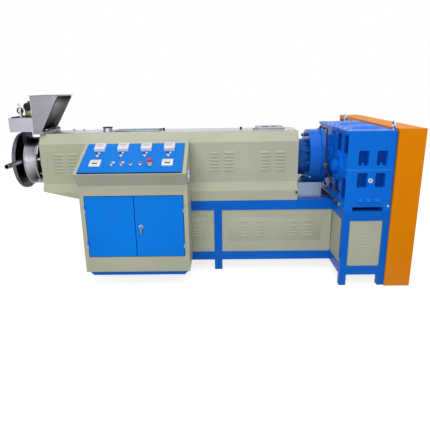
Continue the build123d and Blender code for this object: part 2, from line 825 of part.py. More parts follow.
# Pulleys, belts and the motor on its slide rails
def drive():
    motor_right = guard_left - motor_guard_gap
    shaft = pulley(input_pulley_radius, input_shaft_radius, stand_width, input_place, split_height)
    spindle = pulley(motor_pulley_radius, motor_shaft_radius, motor_right, motor_place, motor_axis_height)
    write("drive_pulleys", shaft, spindle)
    loop = extrude(Plane.YZ * (belt_face(belt_height) - belt_face(seat_gap)), amount=belt_width)
    belt_left = guard_left + pulley_gap + (pulley_width - belt_width) / 2
    write("drive_belt", Pos(belt_left, 0, 0) * loop)
    y = motor_place
    z = motor_axis_height
    core_right = motor_right - motor_shield_length
    core_left = core_right - motor_length
    fin_reach = motor_radius + motor_fin_height
    fin = Rectangle(fin_reach, motor_fin_width, align=(Align.MIN, Align.CENTER))
    section = Circle(motor_radius)
    for turn in PolarLocations(0, motor_fin_count):
        section += turn * fin
    body = Pos(core_left, y, z) * extrude(Plane.YZ * section, amount=motor_length)
    shield = (motor_shield_radius, motor_shield_length)
    cowl = (motor_cowl_radius, motor_cowl_length)
    body += turned_x(stepped_points(motor_right, (shield, (motor_radius, motor_length), shield, cowl)), y, z)
    foot_bottom = z - motor_shaft_height
    for side in (-1, 1):
        y0 = y + side * motor_foot_reach - motor_foot_width / 2
        foot_top = foot_bottom + motor_shaft_height / 2
        foot = block(core_left, core_right, y0, y0 + motor_foot_width, foot_bottom, foot_top)
        body += foot - rod_x(motor_radius / 2, core_left, core_right, y, z)
    box_half = terminal_box_size / 2
    box_x = (core_left + core_right) / 2
    box_bottom = z + motor_radius
    body += block(box_x - box_half, box_x + box_half, y - box_half, y + box_half, box_bottom,
                  box_bottom + motor_fin_height + terminal_box_height)
    write("drive_motor", body)
    rails = []
    y0 = y - slide_rail_length / 2
    for x0 in (core_left, core_right - slide_rail_width):
        rails.append(block(x0, x0 + slide_rail_width, y0, y0 + slide_rail_length, 0, foot_bottom))
    write("motor_slide_rails", *rails)


# Cabinet: profiled side sheets, back, bottom and the front frame round the doors
def cabinet():
    profile = [(cab_front, cabinet_bottom), (cab_front, apron_bottom), (nose_front, nose_bottom),
               (nose_front, nose_top), (cab_back, desk_top), (cab_back, cabinet_bottom)]
    sheet = cabinet_sheet
    inner_left = cab_left + sheet
    inner_right = cab_right - sheet
    fan_hole = rod_x(fan_radius - fan_rim, inner_right, cab_right, cab_front + fan_inset, fan_level)
    right_side = prism_x(profile, inner_right, cab_right) - fan_hole
    write("cabinet_sides", prism_x(profile, cab_left, inner_left), right_side)
    low = cabinet_bottom
    floor_back = cab_back - sheet
    write("cabinet_back", block(inner_left, inner_right, floor_back, cab_back, low, desk_top - 2 * sheet))
    floor_front = cab_front + frame_depth
    floor_top = cabinet_bottom + sheet
    write("cabinet_bottom", block(inner_left, inner_right, floor_front, floor_back, low, floor_top))
    stiles = []
    for x0 in (inner_left, cab_right - stile_width):
        stiles.append(block(x0, x0 + stile_width - sheet, cab_front, floor_front, low, apron_bottom))
    write("cabinet_stiles", *stiles)
    open_left = cab_left + stile_width
    open_right = cab_right - stile_width
    sill = block(open_left, open_right, cab_front, floor_front, cabinet_bottom, door_bottom)
    header = block(open_left, open_right, cab_front, floor_front, door_top, apron_bottom)
    write("cabinet_sill_and_header", sill, header)
    bent = [(cab_front, apron_bottom), (nose_front, nose_bottom), (nose_front, nose_top),
            (cab_back, desk_top), (cab_back, desk_top - sheet / cos(slope)),
            (nose_front + sheet, nose_top - sheet / cos(slope) + sheet * sin(slope) / cos(slope)),
            (nose_front + sheet, nose_bottom), (cab_front + sheet, apron_bottom)]
    write("desk_sheet", prism_x(bent, inner_left, inner_right))


# Frame of reference on the desk: x from the plate's left edge, y up the slope, z off the plate
def desk_plane():
    run = plate_margin_front
    left = cab_left + plate_margin_side
    place = (left, nose_front + run * cos(slope), nose_top + run * sin(slope))
    return Plane(origin=place, x_dir=(1, 0, 0), z_dir=(0, -sin(slope), cos(slope)))


# Blue instrument tray and everything that stands on it
def desk_instruments():
    plane = desk_plane()
    width = cabinet_width - 2 * plate_margin_side
    depth = desk_run / cos(slope) - plate_margin_front - plate_margin_back
    corner = (Align.MIN, Align.MIN, Align.MIN)
    middle = width / 2
    tray = Box(width, depth, plate_height, align=corner)
    fold = 2 * plate_sheet
    hollow = Box(width - fold, depth - fold, plate_height - plate_sheet, align=corner)
    write("desk_plate", plane * (tray - Pos(plate_sheet, plate_sheet, 0) * hollow))

    def standing(x, y, shape):
        return plane * Pos(x, y, plate_height) * shape

    base = (Align.CENTER, Align.CENTER, Align.MIN)
    columns = [middle + share * column_pitch for share in column_shares]
    case = Box(controller_size, controller_size, controller_height, align=base)
    case = chamfer(case.faces().sort_by(Axis.Z)[-1].edges(), controller_break)
    screen = controller_size - 2 * controller_frame
    face = Box(screen, screen, controller_recess, align=base)
    case -= Pos(0, 0, controller_height - controller_recess) * face
    meter = Box(controller_size, controller_size, meter_height, align=base)
    meter = chamfer(meter.faces().sort_by(Axis.Z)[-1].edges(), small_break)
    window = Box(meter_window_width, meter_window_height, meter_window_depth, align=base)
    meter -= Pos(0, -meter_window_drop, meter_height - meter_window_depth) * window
    instruments = [standing(x, controller_place, case) for x in columns]
    instruments += [standing(x, meter_place, meter) for x in (columns[0], columns[-1])]
    write("panel_instruments", *instruments)
    bezel = disc_z(bezel_radius, bezel_height)
    knob = bezel + disc_z(switch_grip_radius, switch_knob_height)
    half = selector_width / 2
    lever_top = bezel_height + selector_height
    selector = bezel + block(-selector_back, selector_reach, -half, half, bezel_height, lever_top)
    button = bezel + disc_z(button_radius, bezel_height + button_height)
    row = [middle + share * switch_pitch for share in switch_shares]
    switches = [standing(x, knob_row_place, knob) for x in columns]
    switches += [standing(x, switch_row_place, selector) for x in row[:2]]
    switches += [standing(x, switch_row_place, button) for x in row[2:4]]
    write("desk_switches", *switches)
    stop_top = stop_stem_height + stop_height
    stem = [(0, 0), (stop_stem_radius, 0), (stop_stem_radius, stop_stem_height)]
    head = [(stop_radius, stop_stem_height), (stop_radius, stop_stem_height + stop_lip_height)]
    crown = [(stop_crown_radius, stop_top), (0, stop_top)]
    write("stop_button", standing(row[-1], switch_row_place, turned_z(stem + head + crown)))


# Round finger guard over the fan hole in the right side sheet
def fan_guard():
    y = cab_front + fan_inset
    left = cab_right
    right = left + fan_height
    guard = rod_x(fan_hub_radius, left, right, y, fan_level)
    for outer, bar in ((fan_radius, fan_rim), (fan_ring_radius, fan_bar)):
        guard += rod_x(outer, left, right, y, fan_level) - rod_x(outer - bar, left, right, y, fan_level)
    half = fan_bar / 2
    reach = fan_radius - half
    guard += block(left, right, y - half, y + half, fan_level - reach, fan_level + reach)
    guard += block(left, right, y - reach, y + reach, fan_level - half, fan_level + half)
    write("fan_guard", guard)


# Doors, their lift-off hinges and the lock
def doors():
    open_left = cab_left + stile_width
    open_right = cab_right - stile_width
    middle = (open_left + open_right) / 2
    low = door_bottom + door_gap
    high = door_top - door_gap
    face = cab_front
    left_span = (open_left + door_gap, middle - door_gap / 2)
    right_span = (middle + door_gap / 2, open_right - door_gap)
    spans = {"left": left_span, "right": right_span}
    centre = (door_bottom + door_top) / 2
    axis_y = face - hinge_stand_off
    leaf_front = face - hinge_leaf_sheet
    frame_leaves = []
    for side, (x0, x1) in spans.items():
        door = block(x0, x1, face, face + door_depth, low, high)
        door -= block(x0 + door_sheet, x1 - door_sheet, face + door_sheet, face + door_depth,
                      low + door_sheet, high - door_sheet)
        outward = -1 if side == "left" else 1
        axis_x = open_left + door_gap / 2 if side == "left" else open_right - door_gap / 2
        for offset in (-hinge_spread, hinge_spread):
            z = centre + offset
            tip = axis_x + outward * hinge_leaf_width
            leaf = block(min(axis_x, tip), max(axis_x, tip), leaf_front, face, z - hinge_knuckle, z)
            knuckle = rod_z(hinge_radius, axis_x, axis_y, z - hinge_knuckle, z)
            pin = rod_z(hinge_pin_radius, axis_x, axis_y, z, z + hinge_knuckle)
            frame_leaves.append(knuckle + leaf + pin)
            tip = axis_x - outward * hinge_leaf_width
            z0 = z + hinge_gap
            z1 = z0 + hinge_knuckle
            door += block(min(axis_x, tip), max(axis_x, tip), leaf_front, face, z0, z1)
            door += rod_z(hinge_radius, axis_x, axis_y, z0, z1)
            door -= rod_z(hinge_pin_radius + hinge_pin_clearance, axis_x, axis_y, z0, z1)
        write("door_" + side, door)
    write("frame_hinges", *frame_leaves)
    lock_x = right_span[0] + lock_inset
    plate_front = face - lock_plate_height
    plate = rod_y(lock_plate_radius, lock_x, centre, plate_front, face)
    grip_back = plate_front - lock_clearance
    plate -= rod_y(lock_spindle_radius + hinge_pin_clearance, lock_x, centre, plate_front, face)
    write("lock_plate", plate)
    grip_front = grip_back - handle_height
    half = handle_width / 2
    grip_foot = centre + half - handle_length
    grip = block(lock_x - half, lock_x + half, grip_front, grip_back, grip_foot, centre + half)
    write("lock_handle", grip + rod_y(lock_spindle_radius, lock_x, centre, grip_back, face - seat_gap))


# Bracket under the cabinet: two arms from the base and a tapered front rail
def cabinet_bracket():
    top = cabinet_bottom
    bottom = top - bracket_rail_height
    front = cab_front + bracket_rail_setback
    back = front + bracket_rail_depth
    left = cab_left + bracket_margin
    right = cab_right - bracket_margin
    outline = [(left, top), (left + bracket_taper, bottom), (right - bracket_taper, bottom), (right, top)]
    bracket = prism_y(outline, front, back)
    for x0 in (left + bracket_taper, right - bracket_taper - bracket_rail_depth):
        bracket += block(x0, x0 + bracket_rail_depth, back, base_front, bottom, top)
    write("cabinet_bracket", bracket)


base_posts, base_panels = base_frame()
stand_posts, stand_panels = gearbox_stand()
write("frame_posts", *base_posts, *stand_posts)
write("frame_panels", *base_panels, *stand_panels)
gearbox()
thrust_body, barrel_start = thrust_housing()
oil_pipe(thrust_body)
barrel_body = barrel(barrel_start)
hood()
hood_fittings()
die_clamps(die_drum(), barrel_body)
feeder()
belt_guard()
drive()
cabinet()
desk_instruments()
fan_guard()
doors()
cabinet_bracket()
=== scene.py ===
import math
import bmesh
import bpy
from mathutils import Matrix, Vector


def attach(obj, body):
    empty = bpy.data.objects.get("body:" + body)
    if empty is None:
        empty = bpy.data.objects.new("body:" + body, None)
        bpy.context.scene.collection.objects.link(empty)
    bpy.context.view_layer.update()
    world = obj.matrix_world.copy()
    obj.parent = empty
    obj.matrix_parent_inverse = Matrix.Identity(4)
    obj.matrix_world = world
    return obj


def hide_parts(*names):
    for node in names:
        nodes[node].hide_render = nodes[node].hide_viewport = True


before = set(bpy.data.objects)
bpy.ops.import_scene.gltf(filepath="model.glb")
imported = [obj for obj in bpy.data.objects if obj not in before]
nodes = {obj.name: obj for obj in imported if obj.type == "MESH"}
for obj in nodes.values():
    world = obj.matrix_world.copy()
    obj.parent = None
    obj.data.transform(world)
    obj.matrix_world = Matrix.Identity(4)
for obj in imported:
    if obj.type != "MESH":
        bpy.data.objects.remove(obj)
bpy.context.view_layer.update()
scene = bpy.context.scene
scene.view_settings.view_transform = "Standard"
print("frame loaded:", len(nodes), "nodes")

# lengths below are millimetres from the gearbox face, the barrel axis and the floor
originX, originY = -1132.5, 188.0
toRow = Matrix.Diagonal((0.001, 0.001, 0.001, 1)) @ Matrix.Translation((-originX, -originY, 0))
axisZ = 1018.0  # barrel, thrust housing and die
splitZ = 1000.0  # gearbox joint and input shaft
inputY = -400.0  # input shaft
hoodTopZ = 1274.0
caseRight, caseFront, caseBack = 381.0, -632.0, 391.0  # gearbox faces; its left one is at 0


def place(x, y, z):
    return toRow @ Vector((x, y, z))


def rowX(x):
    return place(x, 0, 0).x


def srgb(r, g, b):
    def straight(c):
        c = c / 255
        return c / 12.92 if c <= 0.04045 else ((c + 0.055) / 1.055) ** 2.4
    return (straight(r), straight(g), straight(b), 1.0)


cameraSpec = dict(spot=(0.1326, -4.2289, 1.650), lens=36.18, sensor=36.0,
                  pitch=16.47, yaw=-0.92, roll=-0.89)


def addCamera(spec):
    p, w, r = (math.radians(spec[k]) for k in ("pitch", "yaw", "roll"))
    ahead = Vector((math.sin(w) * math.cos(p), math.cos(w) * math.cos(p), -math.sin(p)))
    right = Vector((math.cos(w), -math.sin(w), 0))
    up = right.cross(ahead)
    sideways = math.cos(r) * right + math.sin(r) * up
    upright = -math.sin(r) * right + math.cos(r) * up
    turn = Matrix((sideways, upright, -ahead)).transposed().to_4x4()
    data = bpy.data.cameras.new("photoCamera")
    data.sensor_width = spec["sensor"]
    data.lens = spec["lens"]
    cam = bpy.data.objects.new("photoCamera", data)
    cam.matrix_world = Matrix.Translation(spec["spot"]) @ turn
    scene.collection.objects.link(cam)
    scene.camera = cam


addCamera(cameraSpec)


# a plain value is set on the socket, another node's output is linked to it
def feed(tree, value, socket):
    if isinstance(value, (int, float, str, tuple)):
        socket.default_value = value
    else:
        tree.links.new(value, socket)


# a new node with its settings, and with inputs by name or number
def addNode(tree, kind, inputs=(), **settings):
    node = tree.nodes.new(kind)
    for label, value in settings.items():
        setattr(node, label, value)
    for label, value in dict(inputs).items():
        feed(tree, value, node.inputs[label])
    return node


def blankTree(owner):
    owner.use_nodes = True
    owner.node_tree.nodes.clear()
    return owner.node_tree


def treeMath(tree, operation, a, b=0.0, clamp=False):
    return addNode(tree, "ShaderNodeMath", {0: a, 1: b}, operation=operation, use_clamp=clamp).outputs[0]


# pale floor, white surround, two soft boxes
studio = dict(floorHalf=60.0, floorColour=(0.42, 0.42, 0.42, 1), floorGlow=0.80, fill=0.46, seen=1.0,
              boxes=dict(top=dict(spot=(0.3, -1.2, 4.6), aim=(0, 0.1, 0.4), size=(6.5, 4.0), watts=110),
                         front=dict(spot=(-1.0, -6.5, 2.6), aim=(0.2, 0, 0.8), size=(3.5, 2.5), watts=162)))


def seenRays(tree):
    rays = addNode(tree, "ShaderNodeLightPath").outputs
    total = rays["Is Camera Ray"]
    for ray in ("Is Glossy Ray", "Is Transmission Ray"):
        total = treeMath(tree, "ADD", total, rays[ray], clamp=True)
    return total


def addSurround(spec):
    scene.world = bpy.data.worlds.new("studioSurround")
    tree = blankTree(scene.world)
    white = (1, 1, 1, 1)
    lit, seen = (addNode(tree, "ShaderNodeBackground", {"Color": white, "Strength": spec[key]}).outputs[0]
                 for key in ("fill", "seen"))
    mix = addNode(tree, "ShaderNodeMixShader", {0: seenRays(tree), 1: lit, 2: seen})
    addNode(tree, "ShaderNodeOutputWorld", {0: mix.outputs[0]})


def addFloor(spec):
    half = spec["floorHalf"]
    corners = [(-half, -half, 0), (half, -half, 0), (half, half, 0), (-half, half, 0)]
    mesh = bpy.data.meshes.new("studioFloor")
    mesh.from_pydata(corners, [], [(0, 1, 2, 3)])
    floor = bpy.data.objects.new("studioFloor", mesh)
    scene.collection.objects.link(floor)
    mat = bpy.data.materials.new("studioFloor")
    tree = blankTree(mat)
    matte = addNode(tree, "ShaderNodeBsdfDiffuse", {"Color": spec["floorColour"]})
    level = treeMath(tree, "MULTIPLY", seenRays(tree), spec["floorGlow"])
    glow = addNode(tree, "ShaderNodeEmission", {"Strength": level})
    both = addNode(tree, "ShaderNodeAddShader", {0: matte.outputs[0], 1: glow.outputs[0]})
    addNode(tree, "ShaderNodeOutputMaterial", {"Surface": both.outputs[0]})
    mesh.materials.append(mat)


def addSoftBoxes(spec):
    for name, box in spec["boxes"].items():
        light = bpy.data.lights.new(name + "SoftBox", "AREA")
        light.shape = "RECTANGLE"
        light.size, light.size_y = box["size"]
        light.energy = box["watts"]
        lamp = bpy.data.objects.new(name + "SoftBox", light)
        lamp.location = box["spot"]
        ahead = Vector(box["aim"]) - Vector(box["spot"])
        lamp.rotation_euler = ahead.to_track_quat("-Z", "Y").to_euler()
        scene.collection.objects.link(lamp)


addSurround(studio)
addFloor(studio)
addSoftBoxes(studio)
print("studio ready")


# node helpers for the finishes
def startMaterial(name):
    mat = bpy.data.materials.new(name)
    return mat, blankTree(mat)


def finishMaterial(tree, inputs):
    shader = addNode(tree, "ShaderNodeBsdfPrincipled", inputs)
    addNode(tree, "ShaderNodeOutputMaterial", {"Surface": shader.outputs[0]})


def noise(tree, scale, stretch=(1, 1, 1), detail=3.0, rough=0.55):
    coords = addNode(tree, "ShaderNodeTexCoord").outputs["Object"]
    mapped = addNode(tree, "ShaderNodeMapping", {"Vector": coords, "Scale": stretch}).outputs[0]
    inputs = {"Vector": mapped, "Scale": scale, "Detail": detail, "Roughness": rough}
    return addNode(tree, "ShaderNodeTexNoise", inputs).outputs["Fac"]


def objectAxes(tree):
    coords = addNode(tree, "ShaderNodeTexCoord").outputs["Object"]
    return addNode(tree, "ShaderNodeSeparateXYZ", {0: coords}).outputs


def spread(tree, value, low, high, fromLow=0.3, fromHigh=0.7):
    inputs = {"Value": value, "From Min": fromLow, "From Max": fromHigh, "To Min": low, "To Max": high}
    return addNode(tree, "ShaderNodeMapRange", inputs).outputs[0]


# sums and products of masks stay between 0 and 1
def maskMath(tree, operation, a, b=0.0):
    return treeMath(tree, operation, a, b, clamp=operation in ("ADD", "MULTIPLY"))


def blendColour(tree, factor, first, second):
    inputs = {0: factor, 6: first, 7: second}  # the mix node's colour sockets are 6 and 7
    return addNode(tree, "ShaderNodeMix", inputs, data_type="RGBA").outputs[2]


def shade(colour, factor):
    return tuple(min(1.0, c * factor) for c in colour[:3]) + (1.0,)


# a soft edge normal, and a mask that is 1 on edges
edgeLook = dict(samples=4, turned=0.86, flat=0.99)


def edges(tree, radius):
    soft = addNode(tree, "ShaderNodeBevel", {"Radius": radius}, samples=edgeLook["samples"]).outputs[0]
    normal = addNode(tree, "ShaderNodeNewGeometry").outputs["Normal"]
    dot = addNode(tree, "ShaderNodeVectorMath", {0: soft, 1: normal}, operation="DOT_PRODUCT")
    return soft, spread(tree, dot.outputs["Value"], 1.0, 0.0, edgeLook["turned"], edgeLook["flat"])


def bump(tree, height, strength, distance, normal):
    inputs = {"Strength": strength, "Distance": distance, "Height": height, "Normal": normal}
    return addNode(tree, "ShaderNodeBump", inputs).outputs[0]


# enamel on sheet or casting: mottled tone, orange peel, scuffed edges lightened also as a painted edge
# highlight, dust towards the floor, and painted shade where a mask is given
enamelLook = dict(toneScale=2.2, toneDark=0.93, toneLight=1.05,
                  smearScale=14, smearStretch=(1, 1, 0.3), smearFrom=(0.5, 0.8), smearShare=0.14,
                  smearDark=0.82,
                  scuffScale=60, scuffFrom=(0.42, 0.62), scuffLeast=0.05, scuffLight=1.5,
                  dustScale=9, dustLeast=0.2, dustHeight=0.28,
                  dustColour=srgb(150, 145, 132), shadeDark=0.16, sheenScale=30, sheenSpread=(0.05, 0.1),
                  peelDepth=0.0006)


def enamel(name, colour, rough=0.34, peel=0.12, peelScale=420, edge=0.0025, wear=0.3, gloss=0.25, dust=0.2,
           paintedShade=None):
    look = enamelLook
    mat, tree = startMaterial(name)
    mottle = spread(tree, noise(tree, look["toneScale"]), 0, 1)
    tone = blendColour(tree, mottle, shade(colour, look["toneDark"]), shade(colour, look["toneLight"]))
    smear = noise(tree, look["smearScale"], look["smearStretch"], 5)
    smear = spread(tree, smear, 0, look["smearShare"], *look["smearFrom"])
    tone = blendColour(tree, smear, tone, shade(colour, look["smearDark"]))
    soft, edgeMask = edges(tree, edge)
    scuff = noise(tree, look["scuffScale"], detail=4)
    scuff = spread(tree, scuff, look["scuffLeast"], wear, *look["scuffFrom"])
    # scuffed edges are lightened: wear, and a painted edge highlight
    chipsAndEdgeHighlight = maskMath(tree, "MULTIPLY", edgeMask, scuff)
    tone = blendColour(tree, chipsAndEdgeHighlight, tone, shade(colour, look["scuffLight"]))
    low = spread(tree, objectAxes(tree)["Z"], dust, 0.0, 0.0, look["dustHeight"])
    cloud = spread(tree, noise(tree, look["dustScale"], detail=5), look["dustLeast"], 1)
    tone = blendColour(tree, maskMath(tree, "MULTIPLY", low, cloud), tone, look["dustColour"])
    # painted shade: where a mask is given, the tone darkens
    if paintedShade is not None:
        tone = blendColour(tree, paintedShade(tree), tone, shade(colour, look["shadeDark"]))
    smoother, rougher = look["sheenSpread"]
    sheen = spread(tree, noise(tree, look["sheenScale"], detail=4), rough - smoother, rough + rougher)
    skin = bump(tree, noise(tree, peelScale, detail=2), peel, look["peelDepth"], soft)
    finishMaterial(tree, {"Base Color": tone, "Roughness": sheen, "Specular IOR Level": gloss,
                          "Normal": skin})
    return mat


# machined or brushed metal: grain stretched along the working direction
metalLook = dict(grainDark=0.92, grainLight=1.06, stainScale=11, stainFrom=(0.5, 0.78), stainDark=0.5,
                 stainDull=0.4, sheenSpread=(0.06, 0.1),
                 edgeShare=0.4, edgeLight=1.45, shadow=srgb(26, 26, 30), grainDepth=0.0004)


def metal(name, colour, rough=0.28, grain=(1, 1, 1), grainScale=220, depth=0.12, stain=0.25, edge=0.0015,
          dark=None, grazing=1.0):
    look = metalLook
    mat, tree = startMaterial(name)
    line = noise(tree, grainScale, grain, 2)
    streak = spread(tree, line, 0, 1)
    tone = blendColour(tree, streak, shade(colour, look["grainDark"]), shade(colour, look["grainLight"]))
    blot = spread(tree, noise(tree, look["stainScale"], detail=5), 0, stain, *look["stainFrom"])
    tone = blendColour(tree, blot, tone, shade(colour, look["stainDark"]))
    soft, edgeMask = edges(tree, edge)
    # edges are lightened: rubbed metal, and a painted edge highlight
    rubbedAndEdgeHighlight = maskMath(tree, "MULTIPLY", edgeMask, look["edgeShare"])
    tone = blendColour(tree, rubbedAndEdgeHighlight, tone, shade(colour, look["edgeLight"]))
    # painted shade and reflection: where a mask is given, the tone darkens towards the shadow colour
    if dark is not None:
        tone = blendColour(tree, dark(tree), tone, look["shadow"])
    dull = maskMath(tree, "MULTIPLY", blot, look["stainDull"])
    smoother, rougher = look["sheenSpread"]
    sheen = maskMath(tree, "ADD", spread(tree, line, rough - smoother, rough + rougher), dull)
    skin = bump(tree, line, depth, look["grainDepth"], soft)
    finishMaterial(tree, {"Base Color": tone, "Metallic": 1.0, "Roughness": sheen, "Normal": skin,
                          "Specular Tint": (grazing, grazing, grazing, 1.0)})
    return mat


# moulded plastic or rubber: fine pebble, faint handling marks
plasticLook = dict(markScale=35, markFrom=(0.45, 0.75), markDark=0.6, edgeShare=0.25, edgeLight=1.35,
                   gloss=0.35, pebbleDepth=0.0003)


def plastic(name, colour, rough=0.35, pebble=0.1, pebbleScale=900, mark=0.12, edge=0.001):
    look = plasticLook
    mat, tree = startMaterial(name)
    rub = spread(tree, noise(tree, look["markScale"], detail=5), 0, mark, *look["markFrom"])
    tone = blendColour(tree, rub, colour, shade(colour, look["markDark"]))
    soft, edgeMask = edges(tree, edge)
    # edges are lightened: rubbing, and a painted edge highlight
    rubbedAndEdgeHighlight = maskMath(tree, "MULTIPLY", edgeMask, look["edgeShare"])
    tone = blendColour(tree, rubbedAndEdgeHighlight, tone, shade(colour, look["edgeLight"]))
    sheen = maskMath(tree, "ADD", rub, rough)
    skin = bump(tree, noise(tree, pebbleScale, detail=1), pebble, look["pebbleDepth"], soft)
    finishMaterial(tree, {"Base Color": tone, "Roughness": sheen, "Specular IOR Level": look["gloss"],
                          "Normal": skin})
    return mat


# the die is dull on its rim; painted shade makes it black in its groove, darker above and below a bright
# middle band and darker towards its right end
dieShading = dict(left=-2852.0, rim=-2823.0, right=-2773.5, radius=252.0, rimShare=0.82,
               bright=1046.0, calm=15.0, reach=205.0, shadeShare=0.94, shadePower=0.7,
               fadeFrom=-2748.0, fadeTo=-2655.0, fadeShare=0.3)


def dieShadow(tree):
    s = dieShading
    axes = objectAxes(tree)
    # painted shade: the groove next to the rim is darkened to black
    near = maskMath(tree, "LESS_THAN", axes["X"], rowX(s["right"]))
    far = maskMath(tree, "GREATER_THAN", axes["X"], rowX(s["left"]))
    y = maskMath(tree, "SUBTRACT", axes["Y"], place(0, 0, 0).y)
    z = maskMath(tree, "SUBTRACT", axes["Z"], axisZ / 1000)
    reach = maskMath(tree, "ADD", maskMath(tree, "POWER", y, 2), maskMath(tree, "POWER", z, 2))
    inside = maskMath(tree, "LESS_THAN", reach, (s["radius"] / 1000) ** 2)
    groove = maskMath(tree, "MULTIPLY", maskMath(tree, "MULTIPLY", near, far), inside)
    rim = maskMath(tree, "LESS_THAN", axes["X"], rowX(s["rim"]))
    rim = maskMath(tree, "MULTIPLY", rim, s["rimShare"])
    # painted shade: darker away from the bright band's height, and towards the drum's right end
    away = maskMath(tree, "ABSOLUTE", maskMath(tree, "SUBTRACT", axes["Z"], s["bright"] / 1000))
    shadeBand = spread(tree, away, 0.0, s["shadeShare"], s["calm"] / 1000, s["reach"] / 1000)
    shadeBand = maskMath(tree, "POWER", shadeBand, s["shadePower"])
    fade = spread(tree, axes["X"], 0.0, s["fadeShare"], rowX(s["fadeFrom"]), rowX(s["fadeTo"]))
    shadeBand = maskMath(tree, "ADD", shadeBand, fade)
    return maskMath(tree, "MAXIMUM", groove, maskMath(tree, "MAXIMUM", rim, shadeBand))


# painted shade on the thrust housing: its nose and its underside are darker, in patches
thrustShading = dict(nose=-213.0, noseShare=0.62, low=800.0, high=1070.0, lowShare=0.66,
                   patchScale=7, patchLeast=0.75)


def thrustShade(tree):
    s = thrustShading
    axes = objectAxes(tree)
    nose = maskMath(tree, "LESS_THAN", axes["X"], rowX(s["nose"]))
    nose = maskMath(tree, "MULTIPLY", nose, s["noseShare"])
    under = spread(tree, axes["Z"], s["lowShare"], 0.0, s["low"] / 1000, s["high"] / 1000)
    patchy = spread(tree, noise(tree, s["patchScale"], detail=4), s["patchLeast"], 1.0)
    return maskMath(tree, "MULTIPLY", maskMath(tree, "MAXIMUM", nose, under), patchy)


# painted reflection on the hopper slope: a light band between two dark ones
slopeBand = dict(foot=1340.0, bandLow=1490.0, bandHigh=1528.0, top=1590.0,
                 footShare=0.72, bandShare=0.08, topShare=0.9)


def slopeShade(tree):
    s = slopeBand
    z = objectAxes(tree)["Z"]
    below = spread(tree, z, s["footShare"], s["bandShare"], s["foot"] / 1000, s["bandLow"] / 1000)
    above = spread(tree, z, s["bandShare"], s["topShare"], s["bandHigh"] / 1000, s["top"] / 1000)
    return maskMath(tree, "MAXIMUM", below, above)


